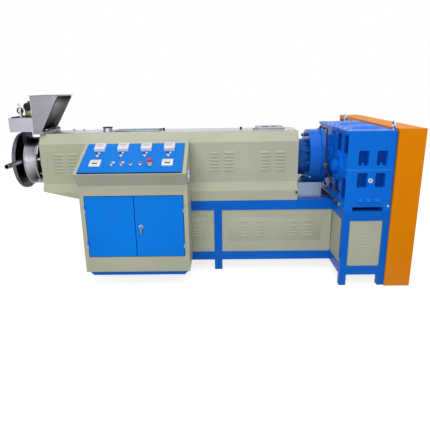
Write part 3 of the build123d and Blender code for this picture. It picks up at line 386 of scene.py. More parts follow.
finish = dict(
    beige=enamel("beigeEnamel", srgb(178, 180, 159), 0.40, 0.10, wear=0.2, gloss=0.3, dust=0.12),
    frameBlue=enamel("frameBlueEnamel", srgb(6, 102, 208), 0.32, 0.12, gloss=0.08, dust=0.05),
    castBlue=enamel("castBlueEnamel", srgb(4, 112, 226), 0.26, 0.30, 160, 0.004, gloss=0.10, dust=0.0),
    doorBlue=enamel("doorBlueEnamel", srgb(8, 126, 232), 0.40, 0.08, gloss=0.06, dust=0.08),
    # the thrust housing carries painted shade on its nose and underside
    thrustBlue=enamel("thrustBlueEnamel", srgb(4, 102, 208), 0.16, 0.10, 160, 0.004, gloss=0.13, dust=0.0,
                      paintedShade=thrustShade),
    deskBlue=enamel("deskBlueEnamel", srgb(10, 118, 212), 0.42, 0.08, gloss=0.08, dust=0.0),
    deepBlue=enamel("deepBlueEnamel", srgb(4, 66, 156), 0.4, 0.2, 160, gloss=0.06, dust=0.0),
    # painted shade: dark navy for the shaded edge of the desk plate
    edgeShadeNavy=enamel("navyShadedEdge", srgb(4, 46, 96), 0.5, 0.05, gloss=0.1, dust=0.0),
    orange=enamel("guardOrangeEnamel", srgb(232, 136, 0), 0.42, 0.10, gloss=0.07, dust=0.15),
    motorGrey=enamel("motorGreyEnamel", srgb(92, 108, 118), 0.42, 0.25, 260, gloss=0.3),
    die=metal("turnedDieSteel", srgb(206, 205, 213), 0.24, (1, 0.003, 0.003), 90, 0.02, 0.06,
              dark=dieShadow),
    turned=metal("turnedSteel", srgb(150, 149, 156), 0.26, (1, 0.003, 0.003), 300, 0.06),
    steel=metal("groundSteel", srgb(158, 160, 172), 0.36, (1, 0.2, 0.2), 160, 0.08),
    bluedSteel=metal("bluedSteel", srgb(128, 144, 168), 0.30, (1, 0.2, 0.2), 160, 0.06),
    plateSteel=metal("plateSteel", srgb(118, 124, 134), 0.36, (1, 0.1, 0.3), 160, 0.08),
    topSteel=metal("polishedTopSteel", srgb(194, 194, 201), 0.34, (0.1, 1, 0.2), 120, 0.01, 0.08),
    darkSteel=metal("blackenedSteel", srgb(44, 45, 52), 0.42, (1, 0.3, 0.3), 140, 0.10, 0.3),
    sheetSteel=metal("sheetSteel", srgb(168, 168, 179), 0.38, (0.06, 0.06, 1), 260, 0.06, 0.10),
    hopperSteel=metal("hopperSteel", srgb(135, 135, 142), 0.36, (0.05, 0.05, 1), 260, 0.06, 0.12),
    mirrorSteel=metal("mirrorSteel", srgb(150, 152, 152), 0.2, (0.5, 0.1, 1), 7, 0.02, 0.5, dark=slopeShade,
                      grazing=0.25),
    zinc=metal("zincPlate", srgb(190, 192, 200), 0.26, (1, 1, 1), 300, 0.06, 0.15),
    chrome=metal("chromePlate", srgb(216, 220, 228), 0.14, (1, 1, 1), 400, 0.02, 0.08),
    copper=metal("dullCopper", srgb(72, 58, 50), 0.46, (1, 1, 1), 90, 0.14, 0.8),
    brass=metal("oliveBrass", srgb(150, 142, 96), 0.38, (1, 1, 1), 140, 0.10, 0.4),
    iron=metal("turnedIron", srgb(96, 96, 100), 0.4, (1, 0.05, 0.05), 260, 0.12, 0.4),
    rubber=plastic("beltRubber", srgb(30, 30, 32), 0.7, 0.3, 500),
    white=plastic("whitePlastic", srgb(226, 225, 232), 0.36),
    pale=plastic("palePlastic", srgb(220, 212, 222), 0.32),
    cream=plastic("dialCard", srgb(222, 216, 206), 0.5),
    black=plastic("blackPlastic", srgb(18, 18, 21), 0.38),
    window=plastic("smokedWindow", srgb(196, 180, 190), 0.14, 0.02),
    oilGlass=plastic("oilGlass", srgb(96, 150, 176), 0.1, 0.02),
    slotBlack=plastic("smokedSlot", srgb(58, 54, 56), 0.2, 0.02),
    red=plastic("redPlastic", srgb(196, 30, 44), 0.3),
    green=plastic("greenPlastic", srgb(48, 96, 92), 0.3),
    yellow=plastic("yellowPlastic", srgb(216, 198, 150), 0.34),
    # painted highlight: a pale copy of the cast blue for the gearbox joint line
    jointHighlight=plastic("paleJointHighlight", srgb(70, 160, 232), 0.5),
)
print("finishes made:", len(finish))

nodeFinish = dict(
    frameBlue=["frame_posts", "base_rails", "base_cross_rails", "base_deck", "stand_rails",
               "cabinet_bracket"],
    castBlue=["gearbox_lower_case", "gearbox_upper_case", "bearing_cap"],
    thrustBlue=["thrust_housing"],
    beige=["frame_panels", "hood_side_covers", "hood_top", "hood_ends", "hood_underside", "cabinet_sides",
           "cabinet_back", "cabinet_bottom", "cabinet_stiles", "cabinet_sill_and_header", "desk_sheet"],
    doorBlue=["door_left", "door_right"],
    deskBlue=["desk_plate"],
    orange=["guard_ends", "guard_top", "guard_side"],
    die=["die_drum"],
    turned=["barrel", "drum_pipe"],
    steel=["feed_throat", "die_clamps", "frame_hinges"],
    bluedSteel=["barrel_pedestal"],
    darkSteel=["feeder_bracket"],
    plateSteel=["hood_vent_and_plate"],
    copper=["oil_pipe"],
    sheetSteel=["feeder_box"],
    hopperSteel=["hopper"],
    zinc=["lifting_eyes", "oil_gauge", "lock_plate", "lock_handle", "fan_guard"],
    motorGrey=["drive_motor", "feeder_gear_motor", "motor_slide_rails"],
    iron=["drive_pulleys"],
    rubber=["drive_belt"],
    white=["panel_instruments"],
    black=["hood_knobs", "desk_switches"],
    red=["stop_button"],
)


def paintNodes():
    done = set()
    for key, names in nodeFinish.items():
        for name in names:
            mesh = nodes[name].data
            mesh.materials.clear()
            mesh.materials.append(finish[key])
            done.add(name)
    print("nodes painted:", len(done), "left:", sorted(set(nodes) - done))


paintNodes()

faceFront, faceBack = (0, -1, 0), (0, 1, 0)
faceLeft, faceRight = (-1, 0, 0), (1, 0, 0)
faceUp, faceDown = (0, 0, 1), (0, 0, -1)
sideFacing = {-1: faceFront, 1: faceBack}


# a frame whose z runs along the given direction, at a spot in millimetres
def facing(spot, direction):
    return Matrix.Translation(spot) @ Vector(direction).to_track_quat("Z", "Y").to_matrix().to_4x4()


# angles of a full round
def turns(count, start=0.0):
    return [start + 2 * math.pi * k / count for k in range(count)]


# points of an arc, its start and sweep in degrees
def arcPoints(x, y, radius, start, sweep, steps):
    angles = [math.radians(start + sweep * k / steps) for k in range(steps + 1)]
    return [(x + radius * math.cos(angle), y + radius * math.sin(angle)) for angle in angles]


def paintFaces(faces, finishIndex):
    for face in faces:
        face.material_index = finishIndex


# a block between two corners, with its edges rounded
def addBlock(bm, first, second, frameAt=Matrix(), round=0.0, finishIndex=0):
    low, high = Vector(map(min, first, second)), Vector(map(max, first, second))
    made = bmesh.ops.create_cube(bm, size=1.0)["verts"]
    middle, size = (low + high) / 2, high - low
    for vert in made:
        vert.co = Vector([middle[i] + vert.co[i] * size[i] for i in range(3)])
    faces = {face for vert in made for face in vert.link_faces}
    if round:
        ring = {edge for face in faces for edge in face.edges}
        cut = bmesh.ops.bevel(bm, geom=list(ring), offset=round, segments=2, profile=0.5, affect="EDGES")
        faces = {face for face in faces if face.is_valid}
        faces |= {face for vert in cut["verts"] for face in vert.link_faces}
    paintFaces(faces, finishIndex)
    for vert in {vert for face in faces for vert in face.verts}:
        vert.co = frameAt @ vert.co


# a block repeated round the frame's z
def addSpun(bm, count, first, second, frameAt, round, finishIndex=0, start=0.0):
    for angle in turns(count, start):
        addBlock(bm, first, second, frameAt @ Matrix.Rotation(angle, 4, "Z"), round, finishIndex)


# a turned shape about the frame's z, from (radius, height) points
def addTurned(bm, points, frameAt=Matrix(), steps=32, finishIndex=0):
    rings = []
    for radius, height in points:
        if radius == 0:
            rings.append([bm.verts.new(frameAt @ Vector((0, 0, height)))] * steps)
            continue
        circle = [(radius * math.cos(angle), radius * math.sin(angle), height) for angle in turns(steps)]
        rings.append([bm.verts.new(frameAt @ Vector(spot)) for spot in circle])
    faces = []
    for first, second in zip(rings, rings[1:]):
        for k in range(steps):
            n = (k + 1) % steps
            corners = list(dict.fromkeys((first[k], first[n], second[n], second[k])))
            if len(corners) > 2:
                faces.append(bm.faces.new(corners))
    paintFaces(faces, finishIndex)


# quads between neighbouring loops of points; closed joins the last loop to the first
def bridge(bm, loops, closed=False):
    following = loops[1:] + loops[:1] if closed else loops[1:]
    for first, second in zip(loops, following):
        for k in range(len(first)):
            n = (k + 1) % len(first)
            bm.faces.new((first[k], first[n], second[n], second[k]))


# a straight prism over an outline in the frame's x and y, from z = 0 to the depth; returns its far face
def addPrism(bm, outline, depth, frameAt):
    low = [bm.verts.new(frameAt @ Vector((x, y, 0))) for x, y in outline]
    high = [bm.verts.new(frameAt @ Vector((x, y, depth))) for x, y in outline]
    bm.faces.new(low[::-1])
    bridge(bm, [low, high])
    return bm.faces.new(high)


smoothAngle = math.radians(28)


def dressPiece(name, mesh, body="machine", stands=()):
    mesh.name = name
    mesh.shade_smooth()
    mesh.set_sharp_from_angle(angle=smoothAngle)
    piece = bpy.data.objects.new(name, mesh)
    scene.collection.objects.link(piece)
    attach(piece, body)
    if stands:
        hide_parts(*stands)


# turns a millimetre mesh into a piece of the machine that rides on a body
def makePiece(name, bm, finishes, body="machine", stands=()):
    bmesh.ops.transform(bm, matrix=toRow, verts=bm.verts)
    bmesh.ops.remove_doubles(bm, verts=bm.verts, dist=1e-6)
    bmesh.ops.recalc_face_normals(bm, faces=bm.faces)
    mesh = bpy.data.meshes.new(name)
    bm.to_mesh(mesh)
    bm.free()
    for key in finishes:
        mesh.materials.append(finish[key])
    dressPiece(name, mesh, body, stands)


# a piece whose dictionary lists its blocks, turned shapes and spun blocks, each led by its finish
def listedPiece(name, spec, stands=()):
    bm = bmesh.new()
    finishes = spec["finishes"]
    for key, first, second, round in spec.get("blocks", ()):
        addBlock(bm, first, second, round=round, finishIndex=finishes.index(key))
    for key, outline, spot, direction, steps in spec.get("turned", ()):
        addTurned(bm, outline, facing(spot, direction), steps, finishes.index(key))
    for key, count, first, second, spot, direction, round in spec.get("spun", ()):
        addSpun(bm, count, first, second, facing(spot, direction), round, finishes.index(key))
    makePiece(name, bm, finishes, stands=stands)


# sizes of the repeated shapes, under the names of their trees' inputs
def boltSize(head, tall, washer, thick):
    return {"Head Radius": head, "Head Height": tall, "Washer Radius": washer, "Washer Height": thick}


def screwSize(head, tall):
    return {"Head Radius": head, "Head Height": tall}


def louvreSize(length, height, depth, root):
    return {"Length": length, "Height": height, "Depth": depth, "Root": root}


def barSize(along, across, tall):
    return {"Along": along, "Across": across, "Tall": tall}


# geometry node trees that set one small shape on many points
def startTree(name, sizes):
    tree = bpy.data.node_groups.new(name, "GeometryNodeTree")
    tree.interface.new_socket("Points", in_out="INPUT", socket_type="NodeSocketGeometry")
    for label, value in sizes.items():
        socket = tree.interface.new_socket(label, in_out="INPUT", socket_type="NodeSocketFloat")
        socket.default_value = value / 1000
    tree.interface.new_socket("Finish", in_out="INPUT", socket_type="NodeSocketMaterial")
    tree.interface.new_socket("Geometry", in_out="OUTPUT", socket_type="NodeSocketGeometry")
    return tree, addNode(tree, "NodeGroupInput")


def treeVector(tree, x, y, z):
    return addNode(tree, "ShaderNodeCombineXYZ", {0: x, 1: y, 2: z}).outputs[0]


def treeJoin(tree, *parts):
    node = addNode(tree, "GeometryNodeJoinGeometry")
    for part in parts:
        feed(tree, part, node.inputs[0])
    return node.outputs[0]


def treeMoved(tree, geometry, offset):
    return addNode(tree, "GeometryNodeTransform", {"Geometry": geometry, "Translation": offset}).outputs[0]


# a cone or drum that stands on z = start
def treeDrum(tree, corners, lowRadius, highRadius, start, height):
    inputs = {"Vertices": corners, "Radius Bottom": lowRadius, "Radius Top": highRadius, "Depth": height}
    drum = addNode(tree, "GeometryNodeMeshCone", inputs).outputs["Mesh"]
    return treeMoved(tree, drum, treeVector(tree, 0, 0, start))


def finishTree(tree, given, shape):
    turn = addNode(tree, "GeometryNodeInputNamedAttribute", {"Name": "turn"}, data_type="FLOAT_VECTOR")
    spin = addNode(tree, "FunctionNodeEulerToRotation", {0: turn.outputs["Attribute"]}).outputs[0]
    inputs = {"Points": given.outputs["Points"], "Instance": shape, "Rotation": spin}
    put = addNode(tree, "GeometryNodeInstanceOnPoints", inputs).outputs[0]
    real = addNode(tree, "GeometryNodeRealizeInstances", {0: put}).outputs[0]
    inputs = {"Geometry": real, "Material": given.outputs["Finish"]}
    paint = addNode(tree, "GeometryNodeSetMaterial", inputs).outputs[0]
    addNode(tree, "NodeGroupOutput", {0: paint})
    return tree


# hexagon head on a washer, z outwards; heights and radii are shares of the head's
boltShape = dict(sizes=boltSize(12, 9, 15, 2), washerCorners=16, hexTall=0.8, crownTall=0.2, crownLow=0.93,
                 crownHigh=0.78, crownCorners=12)


def boltTree(s):
    tree, given = startTree("hexBolts", s["sizes"])
    head, tall, washer, thick = (given.outputs[label] for label in s["sizes"])
    hexTall = treeMath(tree, "MULTIPLY", tall, s["hexTall"])
    crownTall = treeMath(tree, "MULTIPLY", tall, s["crownTall"])
    crownLow = treeMath(tree, "MULTIPLY", head, s["crownLow"])
    crownHigh = treeMath(tree, "MULTIPLY", head, s["crownHigh"])
    crownFoot = treeMath(tree, "ADD", thick, hexTall)
    return finishTree(tree, given, treeJoin(
        tree, treeDrum(tree, s["washerCorners"], washer, washer, 0, thick),
        treeDrum(tree, 6, head, head, thick, hexTall),
        treeDrum(tree, s["crownCorners"], crownLow, crownHigh, crownFoot, crownTall)))


# low round screw head, z outwards
screwShape = dict(sizes=screwSize(6, 3), corners=12, skirtTall=0.5, skirtTop=0.9, crownTop=0.5)


def screwTree(s):
    tree, given = startTree("panelScrews", s["sizes"])
    head, tall = (given.outputs[label] for label in s["sizes"])
    half = treeMath(tree, "MULTIPLY", tall, s["skirtTall"])
    inner, top = (treeMath(tree, "MULTIPLY", head, s[share]) for share in ("skirtTop", "crownTop"))
    skirt = treeDrum(tree, s["corners"], head, inner, 0, half)
    crown = treeDrum(tree, s["corners"], inner, top, half, half)
    return finishTree(tree, given, treeJoin(tree, skirt, crown))


# pressed louvre: x along its length, y outwards, z up, tapered ends, deepest at its foot
louvreShape = dict(sizes=louvreSize(100, 15, 9, 2),
                   corners={"Vertices X": 9, "Vertices Y": 2, "Vertices Z": 4},
                   taperPower=5.0, bulgePower=0.7, rimInset=0.0004)


def louvreTree(s):
    tree, given = startTree("pressedLouvres", s["sizes"])
    length, height, deep, root = (given.outputs[label] for label in s["sizes"])
    size = treeVector(tree, length, deep, height)
    cube = addNode(tree, "GeometryNodeMeshCube", {"Size": size, **s["corners"]}).outputs["Mesh"]
    spot = addNode(tree, "GeometryNodeInputPosition").outputs[0]
    x, y, z = addNode(tree, "ShaderNodeSeparateXYZ", {0: spot}).outputs
    along = treeMath(tree, "DIVIDE", treeMath(tree, "MULTIPLY", x, 2.0), length)
    along = treeMath(tree, "POWER", treeMath(tree, "ABSOLUTE", along), s["taperPower"])
    taper = treeMath(tree, "SUBTRACT", 1.0, along)
    drop = treeMath(tree, "SUBTRACT", 0.5, treeMath(tree, "DIVIDE", z, height))
    bulge = treeMath(tree, "POWER", treeMath(tree, "MAXIMUM", drop, 0.0), s["bulgePower"])
    reach = treeMath(tree, "MULTIPLY", treeMath(tree, "MULTIPLY", taper, bulge), deep)
    reach = treeMath(tree, "SUBTRACT", reach, s["rimInset"])  # rim just inside the sheet
    outer = treeMath(tree, "GREATER_THAN", y, 0.0)
    inner = treeMath(tree, "SUBTRACT", 1.0, outer)
    sunk = treeMath(tree, "MULTIPLY", treeMath(tree, "MULTIPLY", inner, root), -1.0)
    depth = treeMath(tree, "ADD", treeMath(tree, "MULTIPLY", outer, reach), sunk)
    inputs = {"Geometry": cube, "Position": treeVector(tree, x, depth, z)}
    return finishTree(tree, given, addNode(tree, "GeometryNodeSetPosition", inputs).outputs[0])


# plain bar: x, y and z sizes, standing on z = 0
def barTree(sizes):
    tree, given = startTree("smallBars", sizes)
    along, across, tall = (given.outputs[label] for label in sizes)
    size = treeVector(tree, along, across, tall)
    cube = addNode(tree, "GeometryNodeMeshCube", {"Size": size}).outputs["Mesh"]
    up = treeVector(tree, 0, 0, treeMath(tree, "MULTIPLY", tall, 0.5))
    return finishTree(tree, given, treeMoved(tree, cube, up))


repeats = dict(bolt=boltTree(boltShape), screw=screwTree(screwShape), louvre=louvreTree(louvreShape),
               bar=barTree(barSize(10, 3, 2)))
print("repeat trees built:", len(repeats))


# sets a repeated shape on (spot, turn) points and keeps the result as a plain mesh
def repeatPiece(name, kind, points, sizes, finishKey):
    tree = repeats[kind]
    carrier = bpy.data.meshes.new(name + "Points")
    carrier.from_pydata([place(*spot) for spot, turn in points], [], [])
    held = carrier.attributes.new("turn", "FLOAT_VECTOR", "POINT")
    for k, (spot, turn) in enumerate(points):
        held.data[k].vector = turn
    source = bpy.data.objects.new(name + "Points", carrier)
    scene.collection.objects.link(source)
    modifier = source.modifiers.new("repeat", "NODES")
    modifier.node_group = tree
    for item in tree.interface.items_tree:
        if item.in_out != "INPUT":
            continue
        if item.name == "Finish":
            modifier[item.identifier] = finish[finishKey]
        elif item.name in sizes:
            modifier[item.identifier] = sizes[item.name] / 1000
    bpy.context.view_layer.update()
    mesh = bpy.data.meshes.new_from_object(source.evaluated_get(bpy.context.evaluated_depsgraph_get()))
    source.modifiers.remove(modifier)
    bpy.data.objects.remove(source)
    dressPiece(name, mesh)


# euler turn that takes z to a direction
def turnTo(direction, spin=0.0):
    turn = Vector(direction).to_track_quat("Z", "Y").to_matrix() @ Matrix.Rotation(spin, 3, "Z")
    return tuple(turn.to_euler())


# points on a ring about the x direction
def ringSpots(count, radius, x, y, z, direction, start=0.0):
    return [((x, y + radius * math.cos(angle), z + radius * math.sin(angle)), turnTo(direction, angle))
            for angle in turns(count, start)]


louvreTurn = {-1: (0, 0, math.pi), 1: (0, 0, 0)}

# louvres in the hood sides, five groups of two columns, the same at the back
hoodLouvres = dict(columns=(-2447, -2318, -1961, -1831, -1509, -1379, -1057, -928, -605, -475),
                   rows=6, top=1098, pitch=30.4, face=230, louvre=louvreSize(100, 16, 11, 2))


def addHoodLouvres(s):
    heights = [s["top"] - k * s["pitch"] for k in range(s["rows"])]
    points = [((x, side * s["face"], z), louvreTurn[side])
              for side in (-1, 1) for x in s["columns"] for z in heights]
    repeatPiece("hoodLouvres", "louvre", points, s["louvre"], "beige")


addHoodLouvres(hoodLouvres)

# access panels on the base, both bays and both sides, with louvres and screws
accessPanels = dict(spans=((-938, -90), (-1985, -1150)), low=284, high=506, face=259, sheet=2.0,
                    round=0.8, lip=12,
                    columns=(151, 285, 601, 729), rows=(473, 428, 398, 368, 338),
                    louvre=louvreSize(84, 14, 9, 1), screw=screwSize(5, 3))


def addAccessPanels(s):
    bm = bmesh.new()
    louvres, screws = [], []
    low, high, lip = s["low"], s["high"], s["lip"]
    for left, right in s["spans"]:
        screwX, screwZ = (left + lip, (left + right) / 2, right - lip), (low + lip, high - lip)
        for side in (-1, 1):
            outer = side * (s["face"] + s["sheet"])
            addBlock(bm, (left, side * s["face"], low), (right, outer, high), round=s["round"])
            screws += [((x, outer, z), turnTo(sideFacing[side])) for x in screwX for z in screwZ]
            louvres += [((left + x, outer, z), louvreTurn[side]) for x in s["columns"] for z in s["rows"]]
    makePiece("baseAccessPanels", bm, ["beige"])
    repeatPiece("baseLouvres", "louvre", louvres, s["louvre"], "beige")
    repeatPiece("basePanelScrews", "screw", screws, s["screw"], "zinc")


addAccessPanels(accessPanels)

# stand end panels: a short column of louvres and four corner screws, front and back
standPanels = dict(faces=((-626, -1), (385, 1)), middle=190, rows=(470, 440, 410, 380, 350, 320),
                   screwX=(76, 305), screwZ=(197, 557),
                   louvre=louvreSize(92, 12, 3, 1), screw=screwSize(5, 3))


def addStandPanels(s):
    louvres, screws = [], []
    for face, side in s["faces"]:
        louvres += [((s["middle"], face, z), louvreTurn[side]) for z in s["rows"]]
        screws += [((x, face, z), turnTo(sideFacing[side])) for x in s["screwX"] for z in s["screwZ"]]
    repeatPiece("standLouvres", "louvre", louvres, s["louvre"], "beige")
    repeatPiece("standPanelScrews", "screw", screws, s["screw"], "zinc")


addStandPanels(standPanels)
print("louvres and panels done")

# screws along the hood skirt and the hood top
hoodScrews = dict(skirtX=(-2080, -1780, -1480, -1180, -880, -580, -394), skirtZ=697, skirtY=265,
                  topX=(-2560, -2150, -1450, -1150, -880, -370), topY=158, screw=screwSize(5, 3.5))


def addHoodScrews(s):
    points = []
    for side in (-1, 1):
        points += [((x, side * s["skirtY"], s["skirtZ"]), turnTo(sideFacing[side])) for x in s["skirtX"]]
        points += [((x, side * s["topY"], hoodTopZ), turnTo(faceUp)) for x in s["topX"]]
    repeatPiece("hoodScrews", "screw", points, s["screw"], "zinc")


addHoodScrews(hoodScrews)

# hexagon bolts by finish and slot: thrust housing, gearbox, die, stand, hood top and die clamps
pocketColumns = (127.5, 272.5)
clampRing = 227
clampReach = clampRing * math.sin(math.pi / 4)  # the clamps sit 45 degrees below the axis on both sides
boltSets = {
    ("thrustBlue", "cast_blue"): dict(
        thrustBodyBolts=(ringSpots(12, 208, -214, 0, axisZ, faceLeft, 0.13), boltSize(15, 26, 19, 4)),
    ),
    ("castBlue", "cast_blue"): dict(
        bossBolts=(ringSpots(8, 92, -26, inputY, splitZ, faceLeft, 0.39), boltSize(9, 5, 12, 1.5)),
        capBolts=(ringSpots(6, 34, -60, inputY, splitZ, faceLeft), boltSize(6, 5, 8, 1)),
        thrustStuds=(ringSpots(10, 231, -66, 0, axisZ, faceRight, 0.2), boltSize(14, 16, 17, 3)),
        pocketBolts=([((x, y, 1036), turnTo(faceUp, 0.3)) for x in pocketColumns for y in (-614, 373)],
                     boltSize(13, 18, 16, 3)),
        coverBolts=([((x, y, 1308), turnTo(faceUp, y)) for x in (20, 361) for y in range(-500, 341, 140)],
                    boltSize(8, 4, 11, 1)),
    ),
    ("zinc", "zinc"): dict(
        dieBolts=(ringSpots(12, 203, -2857, 0, axisZ, faceLeft), boltSize(11, 6, 14, 1.5)),
        standBolts=([((354, y, 702), turnTo(face, 0.4))
                     for y, face in ((caseFront, faceFront), (caseBack, faceBack))],
                    boltSize(7, 6, 9, 1)),
        hoodTopBolts=([((x, y, hoodTopZ), turnTo(faceUp, x))
                       for x, y in ((-2389, 120), (-2294, 110), (-2175, 100))],
                      boltSize(13, 12, 18, 3)),
        clampNuts=([((x, side * clampReach, axisZ - clampReach), turnTo(face, 0.2))
                    for side in (-1, 1) for x, face in ((-2668, faceLeft), (-2620, faceRight))],
                   boltSize(12, 7, 14, 1)),
    ),
}


def addBolts(sets):
    for (finishKey, slot), group in sets.items():
        for name, (points, sizes) in group.items():
            repeatPiece(name, "bolt", points, sizes, finishKey)


addBolts(boltSets)
print("bolt sets done:", sum(len(group) for group in boltSets.values()))

# painted highlight: a pale blue line round the gearbox where its halves meet
splitSeam = dict(corner=14, cornerSteps=5, half=1.5, proud=1.0, inset=1.0)


def roundedOutline(left, right, front, back, corner, steps):
    centres = ((right - corner, back - corner), (left + corner, back - corner),
               (left + corner, front + corner), (right - corner, front + corner))
    points = []
    for k, (x, y) in enumerate(centres):
        points += arcPoints(x, y, corner, 90 * k, 90, steps)
    return points


def addSplitSeam(s):
    bm = bmesh.new()
    proud, inset, corner, steps = s["proud"], s["inset"], s["corner"], s["cornerSteps"]
    outer = roundedOutline(-proud, caseRight, caseFront - proud, caseBack + proud, corner, steps)
    inner = roundedOutline(inset, caseRight - inset, caseFront + inset, caseBack - inset,
                           corner - inset, steps)
    low, high = splitZ - s["half"], splitZ + s["half"]
    loops = [[bm.verts.new((x, y, z)) for x, y in line]
             for line, z in ((inner, low), (outer, low), (outer, high), (inner, high))]
    bridge(bm, loops, closed=True)
    makePiece("gearboxJointLine", bm, ["jointHighlight"])


addSplitSeam(splitSeam)

# serrated die rim, raised drum bands and strand nozzles in the die face
dieDress = dict(rim=254, teeth=140, toothMiddle=-2839.5, tooth=barSize(27, 3.6, 2.6),
                bands=((-2770, -2758), (-2668, -2655)), bandRadius=216, bandRise=1.5, bandEdge=2,
                bandSteps=72,
                nozzles=16, nozzleRing=112, nozzleFoot=-2835, nozzleSteps=14,
                nozzle=[(0, 4), (4, 4), (4, 8), (9, 8), (11, 6), (11, 0), (0, 0)])


def addDieDress(s):
    along = Vector(faceRight)
    teeth = []
    for angle in turns(s["teeth"]):
        out = Vector((0, math.cos(angle), math.sin(angle)))
        turn = Matrix((along, out.cross(along), out)).transposed().to_euler()
        teeth.append(((s["toothMiddle"], s["rim"] * out.y, axisZ + s["rim"] * out.z), tuple(turn)))
    repeatPiece("dieRimTeeth", "bar", teeth, s["tooth"], "plateSteel")
    bm = bmesh.new()
    foot, crest, edge = s["bandRadius"], s["bandRadius"] + s["bandRise"], s["bandEdge"]
    for left, right in s["bands"]:
        wide = right - left
        outline = [(0, 0), (foot, 0), (crest, edge), (crest, wide - edge), (foot, wide), (0, wide)]
        addTurned(bm, outline, facing((left, 0, axisZ), faceRight), s["bandSteps"])
    makePiece("drumBands", bm, ["turned"])
    bm = bmesh.new()
    ring = s["nozzleRing"]
    for angle in turns(s["nozzles"]):
        spot = (s["nozzleFoot"], ring * math.cos(angle), axisZ + ring * math.sin(angle))
        addTurned(bm, s["nozzle"], facing(spot, faceLeft), s["nozzleSteps"])
    makePiece("strandNozzles", bm, ["turned"])


addDieDress(dieDress)
print("gearbox and die dressed")

# painted shade: dark sheets on the backs of the gearbox end pockets and lining the slots between its ribs
pocketShadeSheets = dict(rows=((1036, 1153), (858, 975)), half=38, depth=40, sheet=1.5, inset=1.5, round=0.6,
                   faces=((caseFront, -1), (caseBack, 1)),
                   slotFirst=-562, slotPitch=205, slots=5, slotHalf=57, slotWall=2.2,
                   slotRows=((1110, 1265), (734, 925)),
                   slotSides=(dict(walls=(3, 40), back=(38.5, 40)),
                              dict(walls=(341, 378), back=(341, 342.5))))


def addPocketShadeSheets(s):
    bm = bmesh.new()
    inset, round = s["inset"], s["round"]
    for face, side in s["faces"]:
        back = face - side * s["depth"]
        for x in pocketColumns:
            for low, high in s["rows"]:
                addBlock(bm, (x - s["half"], back, low + inset),
                         (x + s["half"], back + side * s["sheet"], high - inset), round=round)
    for k in range(s["slots"]):
        y = s["slotFirst"] + k * s["slotPitch"]
        edge, wall = s["slotHalf"], s["slotHalf"] + s["slotWall"]
        for slotSide in s["slotSides"]:
            (wall0, wall1), (back0, back1) = slotSide["walls"], slotSide["back"]
            for low, high in s["slotRows"]:
                z0, z1 = low + inset, high - inset
                addBlock(bm, (back0, y - edge, z0), (back1, y + edge, z1), round=round)
                for side in (-1, 1):
                    addBlock(bm, (wall0, y + side * edge, z0), (wall1, y + side * wall, z1), round=round)
    makePiece("pocketShadeSheets", bm, ["deepBlue"])


addPocketShadeSheets(pocketShadeSheets)

# greasing nipple on the thrust housing, and a small plate by the feed throat
nippleAndPlate = dict(
    finishes=["zinc"],
    turned=[("zinc", [(0, 0), (9, 0), (9, 5), (5, 6), (5, 10), (7, 12), (6, 16), (0, 17)],
             (-203, -198, 866), (0, -0.79, -0.61), 16)],
    blocks=[("zinc", (-424, -72, hoodTopZ), (-366, 62, 1278), 1.2)])
listedPiece("greaseNippleAndPlate", nippleAndPlate)

# catch knob on the hood skirt, a smaller knob on the hood top, and painted shade: a dark band round the
# feed flange for the shaded gap under its plate
knobOutline = [(0, 0), (8, 0), (8, 5), (5, 7), (5, 11), (10, 15), (11, 20), (8, 25), (0, 26)]
catchAndFlangeShade = dict(
    finishes=["black"],
    turned=[("black", knobOutline, (-331, -265, 741), faceFront, 20),
            ("black", [(r * 0.8, h * 0.7) for r, h in knobOutline], (-703, -108, hoodTopZ), faceUp, 20)],
    blocks=[("black", (-676, -117, 1285), (-428, -98, 1289), 0.8),
            ("black", (-676, 98, 1285), (-428, 117, 1289), 0.8),
            ("black", (-676, -98, 1285), (-664, 98, 1289), 0.8),
            ("black", (-440, -98, 1285), (-428, 98, 1289), 0.8)])
listedPiece("hoodCatchAndFlangeShade", catchAndFlangeShade)

# bright strip along the hood top
hoodTopStrip = dict(finishes=["topSteel"],
                    blocks=[("topSteel", (-2572, -150, hoodTopZ), (-330, 150, 1275.4), 0.5)])
listedPiece("hoodTopStrip", hoodTopStrip)

# vent can with its cap, and the sliding plate with its ribs and grip
ventSpot = (-2042, 0, hoodTopZ)
ventAndPlate = dict(
    finishes=["sheetSteel", "darkSteel", "plateSteel"],
    turned=[("sheetSteel", [(0, 0), (52, 0), (52, 4), (42, 5), (41, 30), (45, 33), (0, 33)],
             ventSpot, faceUp, 40),
            ("darkSteel", [(0, 32), (46, 32), (47, 36), (44, 39), (38, 39), (37, 34.5), (0, 34.5)],
             ventSpot, faceUp, 40)],
    blocks=[("plateSteel", (-1963, -95, 1275), (-1543, 95, 1287), 2.5),
            ("darkSteel", (-1559, -75, 1286), (-1549, 75, 1293), 2)]
    + [("plateSteel", (x, -83, 1286), (x + 14, 83, 1289), 1.2) for x in (-1900, -1810, -1720, -1630)])
listedPiece("hoodVentAndPlate", ventAndPlate, stands=("hood_vent_and_plate",))

# polished sheet on the hopper's sloping side, carrying the painted reflection
hopperSlope = dict(foot=(-2583, 1295), mouth=(-2403, 1593), half=176, sheet=1.6, start=0.06, end=0.985,
                   lift=0.2, round=0.5)


def addHopperSlope(s):
    (x0, z0), (x1, z1) = s["foot"], s["mouth"]
    slope = Vector((x1 - x0, 0, z1 - z0))
    along = slope.normalized()
    inward = along.cross(Vector(faceBack))
    at = Matrix((along, Vector(faceBack), inward)).transposed().to_4x4()
    at.translation = Vector((x0, 0, z0)) - inward * s["lift"]
    bm = bmesh.new()
    start, end = slope.length * s["start"], slope.length * s["end"]
    addBlock(bm, (start, -s["half"], -s["sheet"]), (end, s["half"], 0), at, s["round"])
    makePiece("hopperSlope", bm, ["mirrorSteel"])


addHopperSlope(hopperSlope)

